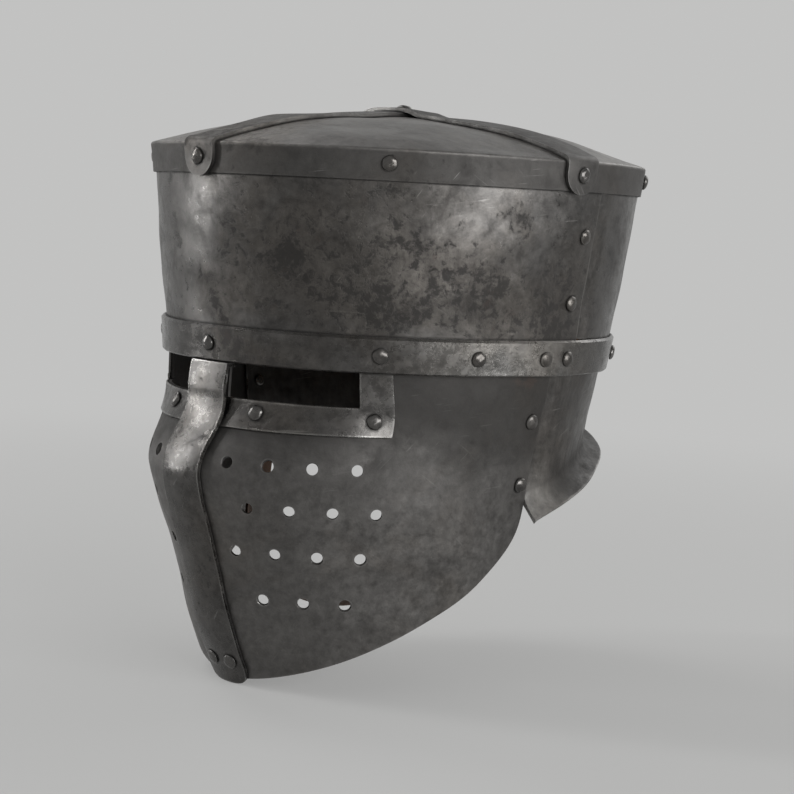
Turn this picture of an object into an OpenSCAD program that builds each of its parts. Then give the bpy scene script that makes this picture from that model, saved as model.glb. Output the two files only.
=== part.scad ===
// Great helm: a riveted steel helm with a domed cap, an oval wall, a keeled face
// plate and a flared nape plate, lined with leather and held on by a chin strap.
// X points to the wearer's left, Y backwards and Z up. The origin is the middle
// of the head opening, at the mid height of the brow band.

/* [Wall] */
// Width of the wall at the brow
brow_w = 226; // [214:1:238]
// Length of the wall at the brow
brow_l = 245; // [233:1:257]
// How far the wall's middle lies in front of the origin at the brow
brow_forward = 2.6; // [0:0.2:4]
// Width of the wall at its top edge
top_w = 248; // [236:1:256]
// Length of the wall at its top edge
top_l = 272; // [260:1:280]
// Height of the wall's top edge above the brow line
wall_top = 96.5; // [88:0.5:106]
// Thickness of the steel plates
plate_t = 1.4; // [1:0.1:2]
// Clearance between plates that lie on each other
plate_gap = 0.12; // [0.1:0.01:0.2]
// Plan angle of the seam between the two skull plates
skull_seam = 100.7; // [97:0.1:106]
// Width of the lap at each side seam, as a plan angle
lap_angle = 8.2; // [7:0.1:10]

/* [Cap] */
// Height of the cap's flange
rim_h = 14.9; // [12:0.1:18]
// Rise of the dome above the flange's top edge
dome_rise = 20.2; // [12:0.1:30]
// Roundness of the dome: 2 is a parabola and more is flatter on top
dome_power = 2.2; // [2:0.1:3]
// Width of the two straps that cross on the cap
cap_strap_w = 22; // [16:1:28]
// Thickness of the cap's straps
cap_strap_t = 2.2; // [1.4:0.1:3]
// Length over which the cross strap climbs over the long one
strap_climb = 14; // [10:1:20]
// How far each strap's tongue reaches below the flange
tongue_drop = 2; // [0:0.5:4]

/* [Brow band] */
// Height of the brow band
band_h = 17.8; // [15:0.1:22]
// Thickness of the brow band
band_t = 2.4; // [2:0.1:3.2]
// Bevel along the band's upper edge
band_bevel = 1.3; // [0.6:0.1:1.6]

/* [Face plate] */
// Height of the eye slots' lower edge
slot_bottom = -26.2; // [-30:0.2:-22]
// Outer end of each eye slot, from the middle
slot_end = 74.4; // [68:0.2:82]
// Inner end of each eye slot, from the middle
slot_start = 11; // [9:0.5:13]
// Height of the foremost point of the keel
nose_z = -64; // [-70:0.5:-58]
// How far the keel rises forward from the brow to the nose
nose_rise = 17; // [10:0.5:22]
// Height of the plate's lowest point
chin_z = -171.8; // [-182:0.2:-160]
// How far the keel draws back from the brow line to the lowest point
chin_in = 19.1; // [14:0.1:26]
// Inward slope of the sides below the brow
side_taper = 0.163; // [0.12:0.001:0.2]
// Inward slope of the back below the brow
back_taper = 0.19; // [0.14:0.001:0.24]
// Sharpness of the keel at the chin: 2 is an ellipse and less is sharper
keel_power = 1.68; // [1.6:0.01:2]
// Plan angle of the seam between the face plate and the nape plate
face_seam = 93; // [92:0.1:95]
// Height of the face plate's rear lower corner
corner_z = -77.2; // [-82:0.2:-72]

/* [Breath holes] */
// Diameter of each breath hole
hole_d = 5.7; // [4:0.1:7]
// Spacing of the holes along a row
hole_pitch = 21.5; // [18:0.1:24]
// Distance of the first hole of a row from the keel
hole_start = 25; // [22:0.5:28]
// Height of the top row of holes
hole_top = -56.4; // [-60:0.2:-54]
// Spacing of the rows
hole_row = 23; // [20:0.5:24]

/* [Eye frames and nasal] */
// Width of the frame's strap below the slot
frame_h = 14; // [12:0.5:17]
// Width of the frame's upright at the slot's outer end
frame_leg = 10.9; // [8:0.1:12]
// Thickness of the eye frames
frame_t = 1.3; // [1:0.1:1.4]
// Width of the nasal strap
nasal_w = 27.6; // [24:0.2:32]
// Thickness of the nasal strap
nasal_t = 2.2; // [1.6:0.1:3]
// How far the nasal strap reaches below the face plate
nasal_drop = 2.4; // [1:0.2:4]

/* [Nape] */
// Height of the crease above the flare, at the sides
crease_side = -76.5; // [-80:0.5:-72]
// Rise of the crease for each millimetre towards the back
crease_slope = 0.285; // [0.2:0.005:0.34]
// Width across the flare's outer edge
flare_w = 217.8; // [212:0.2:224]
// Distance of the flare's outer edge behind the origin
flare_back = 124.8; // [118:0.2:130]
// Height of the flare's outer edge at the sides
flare_side = -83.3; // [-88:0.1:-80]
// Rise of the flare's outer edge for each millimetre towards the back
flare_slope = 0.302; // [0.24:0.002:0.34]

/* [Rivets] */
// Diameter of a rivet's head
head_d = 7.8; // [6:0.1:9]
// Height of a rivet's head
head_h = 2.3; // [1.6:0.1:3]
// Diameter of a rivet's shank
shank_d = 4; // [3:0.1:4.6]
// Radial clearance of a shank in its hole
shank_gap = 0.06; // [0.04:0.01:0.1]
// Diameter of the spread tail inside
tail_d = 6.4; // [5.6:0.1:7]
// Height of the spread tail
tail_h = 1.1; // [0.8:0.1:1.6]

/* [Lining] */
// Thickness of the lining's leather
leather_t = 2; // [1.6:0.1:2.6]
// Height of the leather band above the brow line
liner_top = 20; // [16:0.5:26]
// Depth of the leather band below the brow line
liner_drop = 6; // [5:0.5:7]
// Thickness of the padded roll at the brow
pad_t = 11; // [8:0.5:13]
// Height of the padded roll
pad_h = 32; // [26:1:38]
// Number of leather tongues under the crown
tongue_count = 8; // [8:1:8]
// Height of the lace that draws the tongues together
lace_z = 99; // [94:0.5:102]
// Radius of the ring that the lace makes
lace_r = 27; // [24:0.5:32]
// Diameter of the lace
lace_d = 2.6; // [2:0.1:3]
// Diameter of the washers under the tails in the leather
washer_d = 10; // [9:0.5:12]
// Thickness of those washers
washer_t = 0.8; // [0.6:0.1:1.2]

/* [Chin strap] */
// Width of the chin strap
strap_w = 17; // [14:0.5:19]
// Thickness of the chin strap's leather
strap_t = 1.8; // [1.4:0.1:2.2]
// Distance from the strap's pivot to the chin
strap_drop = 86; // [80:1:92]
// Forward lean of the strap as it is worn
strap_lean = 38; // [30:1:44]
// Diameter of the buckle's wire
wire_d = 2.8; // [2.4:0.1:3]
// Distance between the buckle's two bars
buckle_l = 16; // [15:0.5:18]

/* [Hidden] */

$fn = 48;
// Plan angle between two neighbouring lines of the faceted surfaces
col_step = 4;
// Numerical step for slopes, and a small overcut
tiny = 0.01;
over = 1;

band_half = band_h / 2;
// Clearance under rivet heads, over the wall's top edge and under the cap's straps
seat = 0.05;
frame_seat = 0.5;
tail_gap = 0.2;
top_gap = 0.2;
strap_gap = 0.2;
nasal_gap = 0.3;
frame_gap = 0.2;
washer_gap = 0.3;
// The front half of the brow band stands a little proud of the back half
band_proud = 0.25;
// How far a plate lies inside the one that covers it
step = plate_t + plate_gap;
rim_top = wall_top + plate_t + top_gap;
rim_low = rim_top - rim_h;
rivet_z = mix(rim_low, rim_top, 0.55);
hole_r = hole_d / 2;
shank_r = shank_d / 2;
bore_r = shank_r + shank_gap;
dark_steel = "#5b5a58";
worn_steel = "#6c6b69";
rivet_steel = "#77766f";
leather = "#6b4a2f";
linen = "#b9ab8c";

function unit(v) = v / norm(v);
function mix(a, b, k) = a + (b - a) * k;
function clamp(k) = max(0, min(1, k));
// Smooth climb from 0 to 1
function ease(k) = (1 - cos(180 * clamp(k))) / 2;
// Angle from the front, the same on both sides
function fold(t) = let (m = abs(t) % 360) m > 180 ? 360 - m : m;
// Angles from a to b in steps of about col_step, with both ends
function angles(a, b) = let (n = ceil((b - a) / col_step)) [for (i = [0:n]) mix(a, b, i / n)];
// The multiples of col_step between two seams, with the seams themselves
function seam_angles(a, b) = concat([a],
  [for (t = [ceil((a + tiny) / col_step) * col_step:col_step:b - tiny]) t], [b]);

// Upper wall: an oval cone. t is the plan angle from the front, off the distance outside
function wall_hw(z) = mix(brow_w, top_w, z / wall_top) / 2;
function wall_hl(z) = mix(brow_l, top_l, z / wall_top) / 2;
function wall_cy(z) = -brow_forward * (1 - z / wall_top);
function wall_pt(t, z, off = 0) =
  [(wall_hw(z) + off) * sin(t), wall_cy(z) - (wall_hl(z) + off) * cos(t), z];
function wall_normal(t, z) =
  unit(cross(wall_pt(t + 1, z) - wall_pt(t - 1, z), wall_pt(t, z + 1) - wall_pt(t, z - 1)));

// Lower wall: it tucks one step inside the upper one behind the brow band
function tuck_z(z) = max(z, -band_half);
function low_cy(z) = wall_cy(tuck_z(z));
function low_hw(z) = wall_hw(tuck_z(z)) - step + side_taper * min(z + band_half, 0);
function keel(z) = let (base = wall_hl(tuck_z(z)) - step)
  z >= slot_bottom ? base
  : z >= nose_z ? base + nose_rise * ease((slot_bottom - z) / (slot_bottom - nose_z))
  : base + nose_rise - (nose_rise + chin_in) * pow((nose_z - z) / (nose_z - chin_z), 1.2);
function back_hl(z) = wall_hl(tuck_z(z)) - step + back_taper * min(z + band_half, 0);
function section_power(z) =
  lookup(z, [[chin_z, keel_power], [slot_bottom - frame_h, 2.05], [-band_half, 2]]);
function low_pt(t, z, off = 0) =
  let (c = cos(t), half = c > 0 ? keel(z) : back_hl(z), p = c > 0 ? section_power(z) : 2)
  [sign(sin(t)) * (low_hw(z) + off) * pow(max(1 - c * c, 0), 1 / p),
   low_cy(z) - (half + off) * c, z];
function low_normal(t, z) =
  unit(cross(low_pt(t + 1, z) - low_pt(t - 1, z), low_pt(t, z + 1) - low_pt(t, z - 1)));
// The same face surface, found from the distance x to the middle
function face_pt(x, z, off = 0) =
  [x, low_cy(z) - (keel(z) + off) * sqrt(1 - pow(abs(x) / (low_hw(z) + off), section_power(z))), z];
function face_normal(x, z) =
  unit(cross(face_pt(x + 1, z) - face_pt(x - 1, z), face_pt(x, z + 1) - face_pt(x, z - 1)));

// Lower edge of the face plate in side view, from the rear corner to the chin
edge_start = [low_pt(face_seam, corner_z)[1], corner_z];
edge_end = [low_cy(chin_z) - keel(chin_z), chin_z];
edge_turn_1 = edge_start + [0, -34];
edge_turn_2 = edge_end + [63.2, 42.8];
function edge_pt(u) = pow(1 - u, 3) * edge_start + 3 * u * pow(1 - u, 2) * edge_turn_1
  + 3 * u * u * (1 - u) * edge_turn_2 + pow(u, 3) * edge_end;
// Cosine of the plan angle at which the edge's point u lies
function edge_cos(u) = let (e = edge_pt(u), d = low_cy(e[1]) - e[0])
  d / (d > 0 ? keel(e[1]) : back_hl(e[1]));
// Point of the edge under the plan angle t, by halving the interval
function edge_at(t, lo = 0, hi = 1, n = 24) = let (m = (lo + hi) / 2)
  n == 0 ? edge_pt(m) : edge_cos(m) < cos(t) ? edge_at(t, m, hi, n - 1) : edge_at(t, lo, m, n - 1);

// A closed sheet between an outer and an inner grid of rows of points. Rows run
// from the top down and points from the wearer's right, seen from outside
module sheet(outer, inner) {
  rows = len(outer);
  cols = len(outer[0]);
  n = rows * cols;
  cells = [for (r = [0:rows - 2], c = [0:cols - 2]) r * cols + c];
  rim = concat([for (c = [0:cols - 1]) c], [for (r = [1:rows - 1]) r * cols + cols - 1],
    [for (c = [cols - 2:-1:0]) (rows - 1) * cols + c], [for (r = [rows - 2:-1:1]) r * cols]);
  k = len(rim);
  polyhedron(
    points = concat([for (row = outer, p = row) p], [for (row = inner, p = row) p]),
    faces = concat(
      [for (i = cells) each [[i, i + 1, i + cols], [i + 1, i + cols + 1, i + cols]]],
      [for (i = cells) each [[n + i, n + i + cols, n + i + 1], [n + i + 1, n + i + cols, n + i + cols + 1]]],
      [for (i = [0:k - 1]) let (a = rim[i], b = rim[(i + 1) % k]) each [[a, n + a, b], [b, n + a, n + b]]]),
    convexity = 8);
}

// A closed solid through rings of points. The ends are closed by flat fans, or the
// last ring joins the first
module loft(rings, closed = false) {
  n = len(rings[0]);
  m = len(rings);
  last = closed ? m - 1 : m - 2;
  side = [for (r = [0:last], i = [0:n - 1])
    let (a = r * n, b = ((r + 1) % m) * n, j = (i + 1) % n)
    each [[a + i, a + j, b + i], [a + j, b + j, b + i]]];
  ends = closed ? [] : concat(
    [for (i = [1:n - 2]) [0, i + 1, i]],
    [for (i = [1:n - 2]) [(m - 1) * n, (m - 1) * n + i, (m - 1) * n + i + 1]]);
  polyhedron(points = [for (ring = rings, p = ring) p], faces = concat(side, ends), convexity = 8);
}

// Stands its children on the point p with their Z along n
module place(p, n) {
  translate(p) rotate([0, acos(n[2]), atan2(n[1], n[0])]) children();
}

// Stand their children on the wall, the lower wall or the face, off outside it
module on_wall(t, z, off = 0) {
  place(wall_pt(t, z), wall_normal(t, z)) translate([0, 0, off]) children();
}

module on_low(t, z, off = 0) {
  place(low_pt(t, z), low_normal(t, z)) translate([0, 0, off]) children();
}

module on_face(x, z, off = 0) {
  place(face_pt(x, z), face_normal(x, z)) translate([0, 0, off]) children();
}

// Outline of a rivet's head, from its seat to its top
head_edge = 0.18;
head_dome = concat([[head_d / 2, 0]], [for (a = [0:15:90])
  [head_d / 2 * cos(a), head_h * (head_edge + (1 - head_edge) * sin(a))]]);
tail_chamfer = 0.5;

// A rivet whose head sits at z = 0 and whose tail is spread below the grip
module rivet(grip) {
  low = -grip - tail_h;
  rotate_extrude() polygon(concat([[0, low], [tail_d / 2 - tail_chamfer, low],
    [tail_d / 2, low + tail_chamfer], [tail_d / 2, -grip], [shank_r, -grip], [shank_r, 0]],
    head_dome));
}

module rivet_head() {
  rotate_extrude() polygon(concat([[0, 0]], head_dome));
}

// A bore reaches bore_up outside the plates and depth inside them
bore_up = 6;
bore_depth = 14;
module rivet_bore(depth = bore_depth) {
  translate([0, 0, -depth]) cylinder(r = bore_r, h = depth + bore_up);
}

// Places of the rivets
rim_angles = [46, 134, 226, 314];
strap_angles = [0, 90, 180, 270];
brow_side = [46.3, 69.4, 88.3, 95.8, 131];
brow_angles = concat([0, 180], brow_side, [for (t = brow_side) -t]);
skull_seam_angle = skull_seam - 4.7;
skull_seam_z = [61, 27.4];
face_seam_angle = face_seam - 3.4;
face_seam_z = -32.5;
chin_pivot_z = -65.2;
frame_rivet_z = slot_bottom - frame_h / 2 + 0.6;
frame_rivet_x = [30.7, slot_end + 3.8];
tip_rivet_x = 6.2;
tip_rivet_z = chin_z + 10.8;

module rim_bores() {
  for (t = concat(rim_angles, strap_angles)) on_wall(t, rivet_z) rivet_bore();
}

module skull_seam_bores() {
  for (s = [-1, 1], z = skull_seam_z) on_wall(s * skull_seam_angle, z) rivet_bore();
}

module brow_bores() {
  for (t = brow_angles) on_wall(t, 0) rivet_bore();
}

module face_seam_bores() {
  for (s = [-1, 1]) {
    on_low(s * face_seam_angle, face_seam_z) rivet_bore();
    translate([s * pivot_x, pivot_y, chin_pivot_z]) rotate([0, 90, 0])
      cylinder(r = bore_r, h = 24, center = true);
  }
}

// Upper wall
module skull_plate_front() {
  ts = seam_angles(-skull_seam, skull_seam);
  zs = [wall_top, -band_half + 1.4];
  color(dark_steel) difference() {
    sheet([for (z = zs) [for (t = ts) wall_pt(t, z)]],
          [for (z = zs) [for (t = ts) wall_pt(t, z, -plate_t)]]);
    // Notch for the nasal strap's tongue
    translate([-nasal_w / 2 - 0.3, -brow_l, -band_half]) cube([nasal_w + 0.6, brow_l, 2 * band_half - 1]);
    rim_bores();
    skull_seam_bores();
    brow_bores();
  }
}

// A plate that ends under another is set one step inwards there. Past the seam it
// starts to come out at set_from and is flush at set_to, in degrees
set_from = 0.3;
set_to = 5.8;
function set_in(t, seam) = step * (1 - ease((fold(t) - seam - set_from) / (set_to - set_from)));
function set_angles(seam) = [for (d = [-lap_angle, -4, set_from, 2, 4]) seam + d];
function skull_set(t) = set_in(t, skull_seam);

module skull_plate_back() {
  ends = set_angles(skull_seam);
  ts = concat(ends, seam_angles(skull_seam + set_to, 360 - skull_seam - set_to),
    [for (i = [len(ends) - 1:-1:0]) 360 - ends[i]]);
  zs = [wall_top, -band_half + 1.4];
  color(dark_steel) difference() {
    sheet([for (z = zs) [for (t = ts) wall_pt(t, z, -skull_set(t))]],
          [for (z = zs) [for (t = ts) wall_pt(t, z, -skull_set(t) - plate_t)]]);
    // The set-in corners stop above the lower plates
    for (s = [-1, 1])
      translate([s * brow_w / 2 - 30, -15, -band_half]) cube([60, 50, 2 * band_half + 0.4]);
    rim_bores();
    skull_seam_bores();
    brow_bores();
  }
}

// Cap: a dome with a flange that grips the wall's top
function cap_hw(z) = wall_hw(z) + plate_gap + plate_t;
function cap_hl(z) = wall_hl(z) + plate_gap + plate_t;
function dome_z(f) = rim_top + dome_rise * (1 - pow(f, dome_power));
function dome_ring(f, drop) = [for (t = [0:col_step:359])
  [f * cap_hw(rim_top) * sin(t), wall_cy(rim_top) - f * cap_hl(rim_top) * cos(t), dome_z(f) - drop]];
function rim_ring(z, off) = [for (t = [0:col_step:359]) wall_pt(t, z, off)];

module cap_plate() {
  fs = [0.03, 0.16, 0.32, 0.48, 0.64, 0.78, 0.9];
  inner_f = (wall_hw(rim_top) + plate_gap) / cap_hw(rim_top);
  rings = concat([for (f = fs) dome_ring(f, 0)], [dome_ring(1, 0)],
    [rim_ring(rim_low, plate_gap + plate_t)], [rim_ring(rim_low, plate_gap)],
    [rim_ring(rim_top - plate_t, plate_gap)], [for (i = [len(fs) - 1:-1:0]) dome_ring(fs[i], plate_t)]);
  color(dark_steel) difference() {
    loft(rings);
    rim_bores();
    translate([0, wall_cy(rim_top), rim_top]) cylinder(r = bore_r, h = 40);
  }
}

// Cap straps. along runs from -1 at one end to 1 at the other, across is in millimetres
function strap_semi(z, cross_way) = cross_way ? [cap_hw(z), cap_hl(z)] : [cap_hl(z), cap_hw(z)];
function strap_xyz(l, a, z, cross_way) =
  cross_way ? [l, a + wall_cy(z), z] : [a, l + wall_cy(z), z];
function strap_dome(k, across, off, cross_way) =
  let (s = strap_semi(rim_top, cross_way), q = sqrt(1 - pow(across / s[1], 2)),
       f = norm([k * q, across / s[1]]))
  strap_xyz(k * q * s[0], across, dome_z(f) + off, cross_way);
function strap_rim(side, across, z, off, cross_way) =
  let (s = strap_semi(z, cross_way) + [off, off])
  strap_xyz(side * s[0] * sqrt(1 - pow(across / s[1], 2)), across, z, cross_way);
// The cross strap climbs over the long one near the crown
strap_flat = cap_strap_w / 2 + 0.4;
function strap_hump(k, cross_way) = !cross_way ? 0
  : (cap_strap_t + strap_gap) * ease(1 + (strap_flat - abs(k) * cap_hw(rim_top)) / strap_climb);
function tongue_end(across) = let (r = cap_strap_w / 2)
  rim_low - tongue_drop + r - sqrt(max(r * r - across * across, 0));
module cap_strap(cross_way) {
  turn = cross_way ? -1 : 1;
  acrosses = [for (a = [-90:22.5:90]) cap_strap_w / 2 * sin(a)];
  climb = [for (i = [0:5]) (strap_flat + strap_climb * i / 5) / cap_hw(rim_top)];
  half_ks = concat(climb, [for (i = [1:6]) mix(climb[5], 0.985, i / 6)]);
  ks = concat([for (i = [len(half_ks) - 1:-1:0]) -half_ks[i]], [0], half_ks);
  lo = strap_gap;
  hi = strap_gap + cap_strap_t;
  qs = [1, 0.6, 0.25, 0];
  function row_rim(side, q, off) = [for (a = acrosses) let (z = mix(rim_top - 0.6, tongue_end(a), q))
    strap_rim(side, turn * a, z, off, cross_way)];
  function row_bend(side, off) = [for (a = acrosses)
    strap_rim(side, turn * a, rim_top, off * 0.8, cross_way) + [0, 0, off * 0.8]];
  function row_dome(k, off) = [for (a = acrosses)
    strap_dome(k, turn * a, off + strap_hump(k, cross_way), cross_way)];
  function grid(off) = concat([for (q = qs) row_rim(1, q, off)], [row_bend(1, off)],
    [for (i = [len(ks) - 1:-1:0]) row_dome(ks[i], off)], [row_bend(-1, off)],
    [for (i = [len(qs) - 1:-1:0]) row_rim(-1, qs[i], off)]);
  sheet(grid(hi), grid(lo));
}

module strap_end_bores() {
  for (t = strap_angles) on_wall(t, rivet_z) rivet_bore();
}

module cap_strap_long() {
  color(worn_steel) difference() {
    cap_strap(false);
    strap_end_bores();
    translate([0, wall_cy(rim_top), rim_top]) cylinder(r = bore_r, h = 40);
  }
}

module cap_strap_cross() {
  color(worn_steel) difference() {
    cap_strap(true);
    strap_end_bores();
    translate([0, wall_cy(rim_top), rim_top]) cylinder(r = bore_r, h = 40);
  }
}

// Brow band. Its two halves are thinned where they overlap at the sides
band_lap_start = skull_seam - 16;
half_band = (band_t - plate_gap) / 2;
function band_section(t, lo, hi, bevel) = [wall_pt(t, -band_half, hi - bevel / 2),
  wall_pt(t, -band_half + bevel / 2, hi), wall_pt(t, band_half - bevel, hi),
  wall_pt(t, band_half, hi - bevel), wall_pt(t, band_half, lo), wall_pt(t, -band_half, lo)];

module brow_band_front() {
  e = skull_seam - 0.2;
  lap = band_lap_start;
  thinned = seam_angles(lap + tiny, e);
  ts = concat([for (i = [len(thinned) - 1:-1:0]) -thinned[i]], seam_angles(-lap, lap), thinned);
  color(worn_steel) difference() {
    loft([for (t = ts) let (thin = abs(t) > lap)
      band_section(t, plate_gap + (thin ? half_band + plate_gap : 0), band_out,
        thin ? band_bevel * 0.7 : band_bevel)]);
    brow_bores();
  }
}

module brow_band_back() {
  e = band_lap_start + 0.3;
  s = skull_seam;
  ts = concat(seam_angles(e, s), seam_angles(s + tiny, 360 - s - tiny), seam_angles(360 - s, 360 - e));
  color(worn_steel) difference() {
    loft([for (t = ts) let (thin = fold(t) <= s)
      band_section(t, plate_gap, plate_gap + (thin ? half_band : band_t), thin ? 0.5 : band_bevel)]);
    brow_bores();
  }
}

// Face plate with the eye slots and the breath holes
frame_low = slot_bottom - frame_h;
frame_rows = [for (i = [0:3]) mix(slot_bottom, frame_low, i / 3)];
face_rows_z = concat([band_half - 1.4, -band_half], frame_rows,
  [for (i = [1:5]) mix(frame_low, nose_z, i / 5)]);
face_rows_q = [0.1, 0.22, 0.36, 0.5, 0.66, 0.83, 1];
function face_col(t, off) = let (low = edge_at(abs(t))[1])
  concat([for (z = face_rows_z) low_pt(t, z, off)],
    [for (q = face_rows_q) low_pt(t, mix(nose_z, low, q), off)]);
face_side = [for (i = [0:26]) face_seam * (1 - pow(1 - i / 26, 1.5))];
face_ts = concat([for (i = [26:-1:1]) -face_side[i]], face_side);
function transpose(m) = [for (j = [0:len(m[0]) - 1]) [for (i = [0:len(m) - 1]) m[i][j]]];

// Length of face per degree of plan angle, and the angle a distance d further on
function face_speed(t, z) = norm(low_pt(t + 0.5, z) - low_pt(t - 0.5, z));
function face_walk(t, z, d, n = 6) =
  n == 0 ? t : face_walk(t + d / 6 / face_speed(t, z), z, d, n - 1);
hole_counts = [4, 4, 4, 3];
// How far down each row lies, in row spacings
hole_rows = [0, 0.96, 1.95, 3];
// The rows start closer to the keel as the face narrows, and half of that goes into the pitch
function row_shrink(z) = low_hw(z) / low_hw(hole_top);

module breath_bores() {
  for (r = [0:3]) {
    z = hole_top - hole_rows[r] * hole_row;
    first = (hole_start + (r % 2) * hole_pitch / 2) * row_shrink(z);
    t0 = face_walk(1, z, first);
    for (i = [0:hole_counts[r] - 1], s = [-1, 1]) {
      t = face_walk(t0, z, i * hole_pitch * mix(1, row_shrink(z), 0.5), 6);
      on_low(s * t, z) cylinder(r = hole_r, h = 16, center = true);
    }
  }
}

module eye_slots() {
  for (x = [slot_start, -slot_end]) translate([x, -brow_l, slot_bottom])
    cube([slot_end - slot_start, brow_l, -slot_bottom - band_half + over]);
}

module frame_bores() {
  for (s = [-1, 1], x = frame_rivet_x) on_face(s * x, frame_rivet_z) rivet_bore();
}

// The tip's bores stop short of each other inside the keel
tip_bore_depth = 6;
module tip_bores() {
  for (s = [-1, 1]) on_face(s * tip_rivet_x, tip_rivet_z) rivet_bore(tip_bore_depth);
}

module face_plate() {
  color(dark_steel) difference() {
    sheet(transpose([for (t = face_ts) face_col(t, 0)]),
          transpose([for (t = face_ts) face_col(t, -plate_t)]));
    eye_slots();
    breath_bores();
    brow_bores();
    face_seam_bores();
    frame_bores();
    tip_bores();
  }
}

// Nape plate with its flare. Its ends are set one step inwards, under the face plate
function nape_set(t) = set_in(t, face_seam);
function crease_z(y) = crease_side + crease_slope * y;
// Foot of the wall where it meets the crease, found by repeating the slope once
function crease_at(t) = crease_z(low_pt(t, crease_z(low_pt(t, crease_side)[1]))[1]);
// The flare's outer edge runs ahead of its foot by flare_lead degrees at its front ends
flare_lead = 2.7;
function edge_turn(t) = t + (t < 180 ? -1 : 1) * flare_lead * (1 - ease((fold(t) - face_seam) / 40));
function flare_edge(t) = let (e = edge_turn(t), y = -flare_back * cos(e))
  [flare_w / 2 * sin(e), y, flare_side + flare_slope * y];
flare_soft = 6;
// The flare begins just past the seam, between two close columns
flare_start = face_seam + set_from + 0.2;
function nape_flare(t, q, off) = fold(t) < flare_start - tiny
  ? low_pt(t, crease_at(t) + flare_soft * (1 - q), off - nape_set(t))
  : let (foot = crease_at(t), a = low_pt(t, foot + flare_soft, 0), b = low_pt(t, foot, 0), c = flare_edge(t),
         p = (1 - q) * (1 - q) * a + 2 * q * (1 - q) * b + q * q * c,
         dir = mix(1, 0.5, q) * [sin(t), -cos(t), 0] + [0, 0, mix(0, 0.85, q)])
    p + off * unit(dir) - nape_set(t) * (1 - q) * [sin(t), -cos(t), 0];
nape_rows = [band_half - 1.4, -band_half, -25];
nape_qs = [0, 0.3, 0.55, 0.8, 1];
function nape_col(t, off) = concat([for (z = nape_rows) low_pt(t, z, off - nape_set(t))],
  [for (q = nape_qs) nape_flare(t, q, off)]);
nape_ends = set_angles(face_seam);
nape_half = concat([nape_ends[0], nape_ends[1], nape_ends[2], flare_start, nape_ends[3],
  nape_ends[4], face_seam + set_to], [for (t = [104:6:176]) t]);
nape_ts = concat(nape_half, [180], [for (i = [len(nape_half) - 1:-1:0]) 360 - nape_half[i]]);

module nape_plate() {
  color(dark_steel) difference() {
    sheet(transpose([for (t = nape_ts) nape_col(t, 0)]),
          transpose([for (t = nape_ts) nape_col(t, -plate_t)]));
    brow_bores();
    face_seam_bores();
  }
}

// Eye frames: a strap below each slot with an upright at its outer end
module eye_frame(side) {
  x_end = slot_end + frame_leg;
  xs = [for (i = [0:14]) side > 0 ? mix(1.5, x_end, i / 14) : mix(-x_end, -1.5, i / 14)];
  zs = concat([-band_half + 1.2, -band_half, -18], frame_rows);
  color(worn_steel) difference() {
    sheet([for (z = zs) [for (x = xs) face_pt(x, z, frame_gap + frame_t)]],
          [for (z = zs) [for (x = xs) face_pt(x, z, frame_gap)]]);
    translate([side > 0 ? 0 : -slot_end, -brow_l, slot_bottom]) cube([slot_end, brow_l, 40]);
    frame_bores();
  }
}

// Nasal strap: it hangs from under the brow band, bows over the frames and
// follows the keel down to the chin
nasal_low = nose_z + 2;
function nasal_lift(z) = lookup(z, [[nasal_low, nasal_gap], [frame_low - 10, 1.5], [frame_low, 2.4],
  [slot_bottom - 4, 3.4], [slot_bottom + 4, 3.9], [slot_bottom + 11, 3.5], [-band_half, 2.4]]);
// Height at which the strap's rounded tip begins
tip_from = chin_z + 13.8;
function nasal_end(x) = chin_z - nasal_drop + 6.5 * (1 - sqrt(1 - pow(abs(x) / (nasal_w / 2), 4)));

module nasal_strap() {
  xs = [for (i = [-4:4]) nasal_w / 2 * i / 4];
  bow_qs = [0, 0.05, 0.11, 0.17, 0.24, 0.32, 0.4, 0.49, 0.58, 0.68, 0.77, 0.85, 0.92, 1];
  keel_qs = [0.05, 0.11, 0.19, 0.29, 0.41, 0.53, 0.66, 0.78, 0.9, 1];
  zs = concat([for (q = bow_qs) mix(-band_half - 0.4, nasal_low, q)],
    [for (q = keel_qs) mix(nasal_low, tip_from, q)]);
  ends = [0.45, 0.8, 1];
  function rows(lift) = concat(
    [for (z = [band_half - 1.6, -band_half - 0.2]) [for (x = xs) face_pt(x, z, plate_gap + (lift > 0 ? frame_t : 0))]],
    [for (z = zs) [for (x = xs) face_pt(x, z, nasal_lift(z) + lift)]],
    [for (q = ends) [for (x = xs) face_pt(x, mix(tip_from, nasal_end(x), q), nasal_gap + lift)]]);
  color(worn_steel) difference() {
    sheet(rows(nasal_t), rows(0));
    brow_bores();
    tip_bores();
  }
}

// Rivets
liner_off = -3 * step - plate_t - 2 * plate_gap;
band_out = plate_gap + band_t + band_proud;

module crown_rivet() {
  top = rim_top + dome_rise + 2 * (cap_strap_t + strap_gap);
  color(rivet_steel) translate([0, wall_cy(rim_top), top + seat])
    rivet(seat + top - rim_top - dome_rise + plate_t + tail_gap);
}

module cap_strap_rivets() {
  off = plate_gap + plate_t + strap_gap + cap_strap_t;
  color(rivet_steel) for (t = strap_angles)
    on_wall(t, rivet_z, off + seat) rivet(off + seat + plate_t + tail_gap);
}

module cap_rim_rivets() {
  off = plate_gap + plate_t;
  color(rivet_steel) for (t = rim_angles)
    on_wall(t, rivet_z, off + seat) rivet(off + seat + plate_t + tail_gap);
}

module skull_seam_rivets() {
  color(rivet_steel) for (s = [-1, 1], z = skull_seam_z)
    on_wall(s * skull_seam_angle, z, seat) rivet(seat + step + plate_t + tail_gap);
}

module brow_band_rivets() {
  color(rivet_steel) for (t = brow_angles) {
    off = fold(t) > skull_seam ? band_out - band_proud : band_out;
    on_wall(t, 0, off + seat) rivet(off - liner_off + seat + leather_t + washer_gap + washer_t + tail_gap);
  }
}

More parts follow.
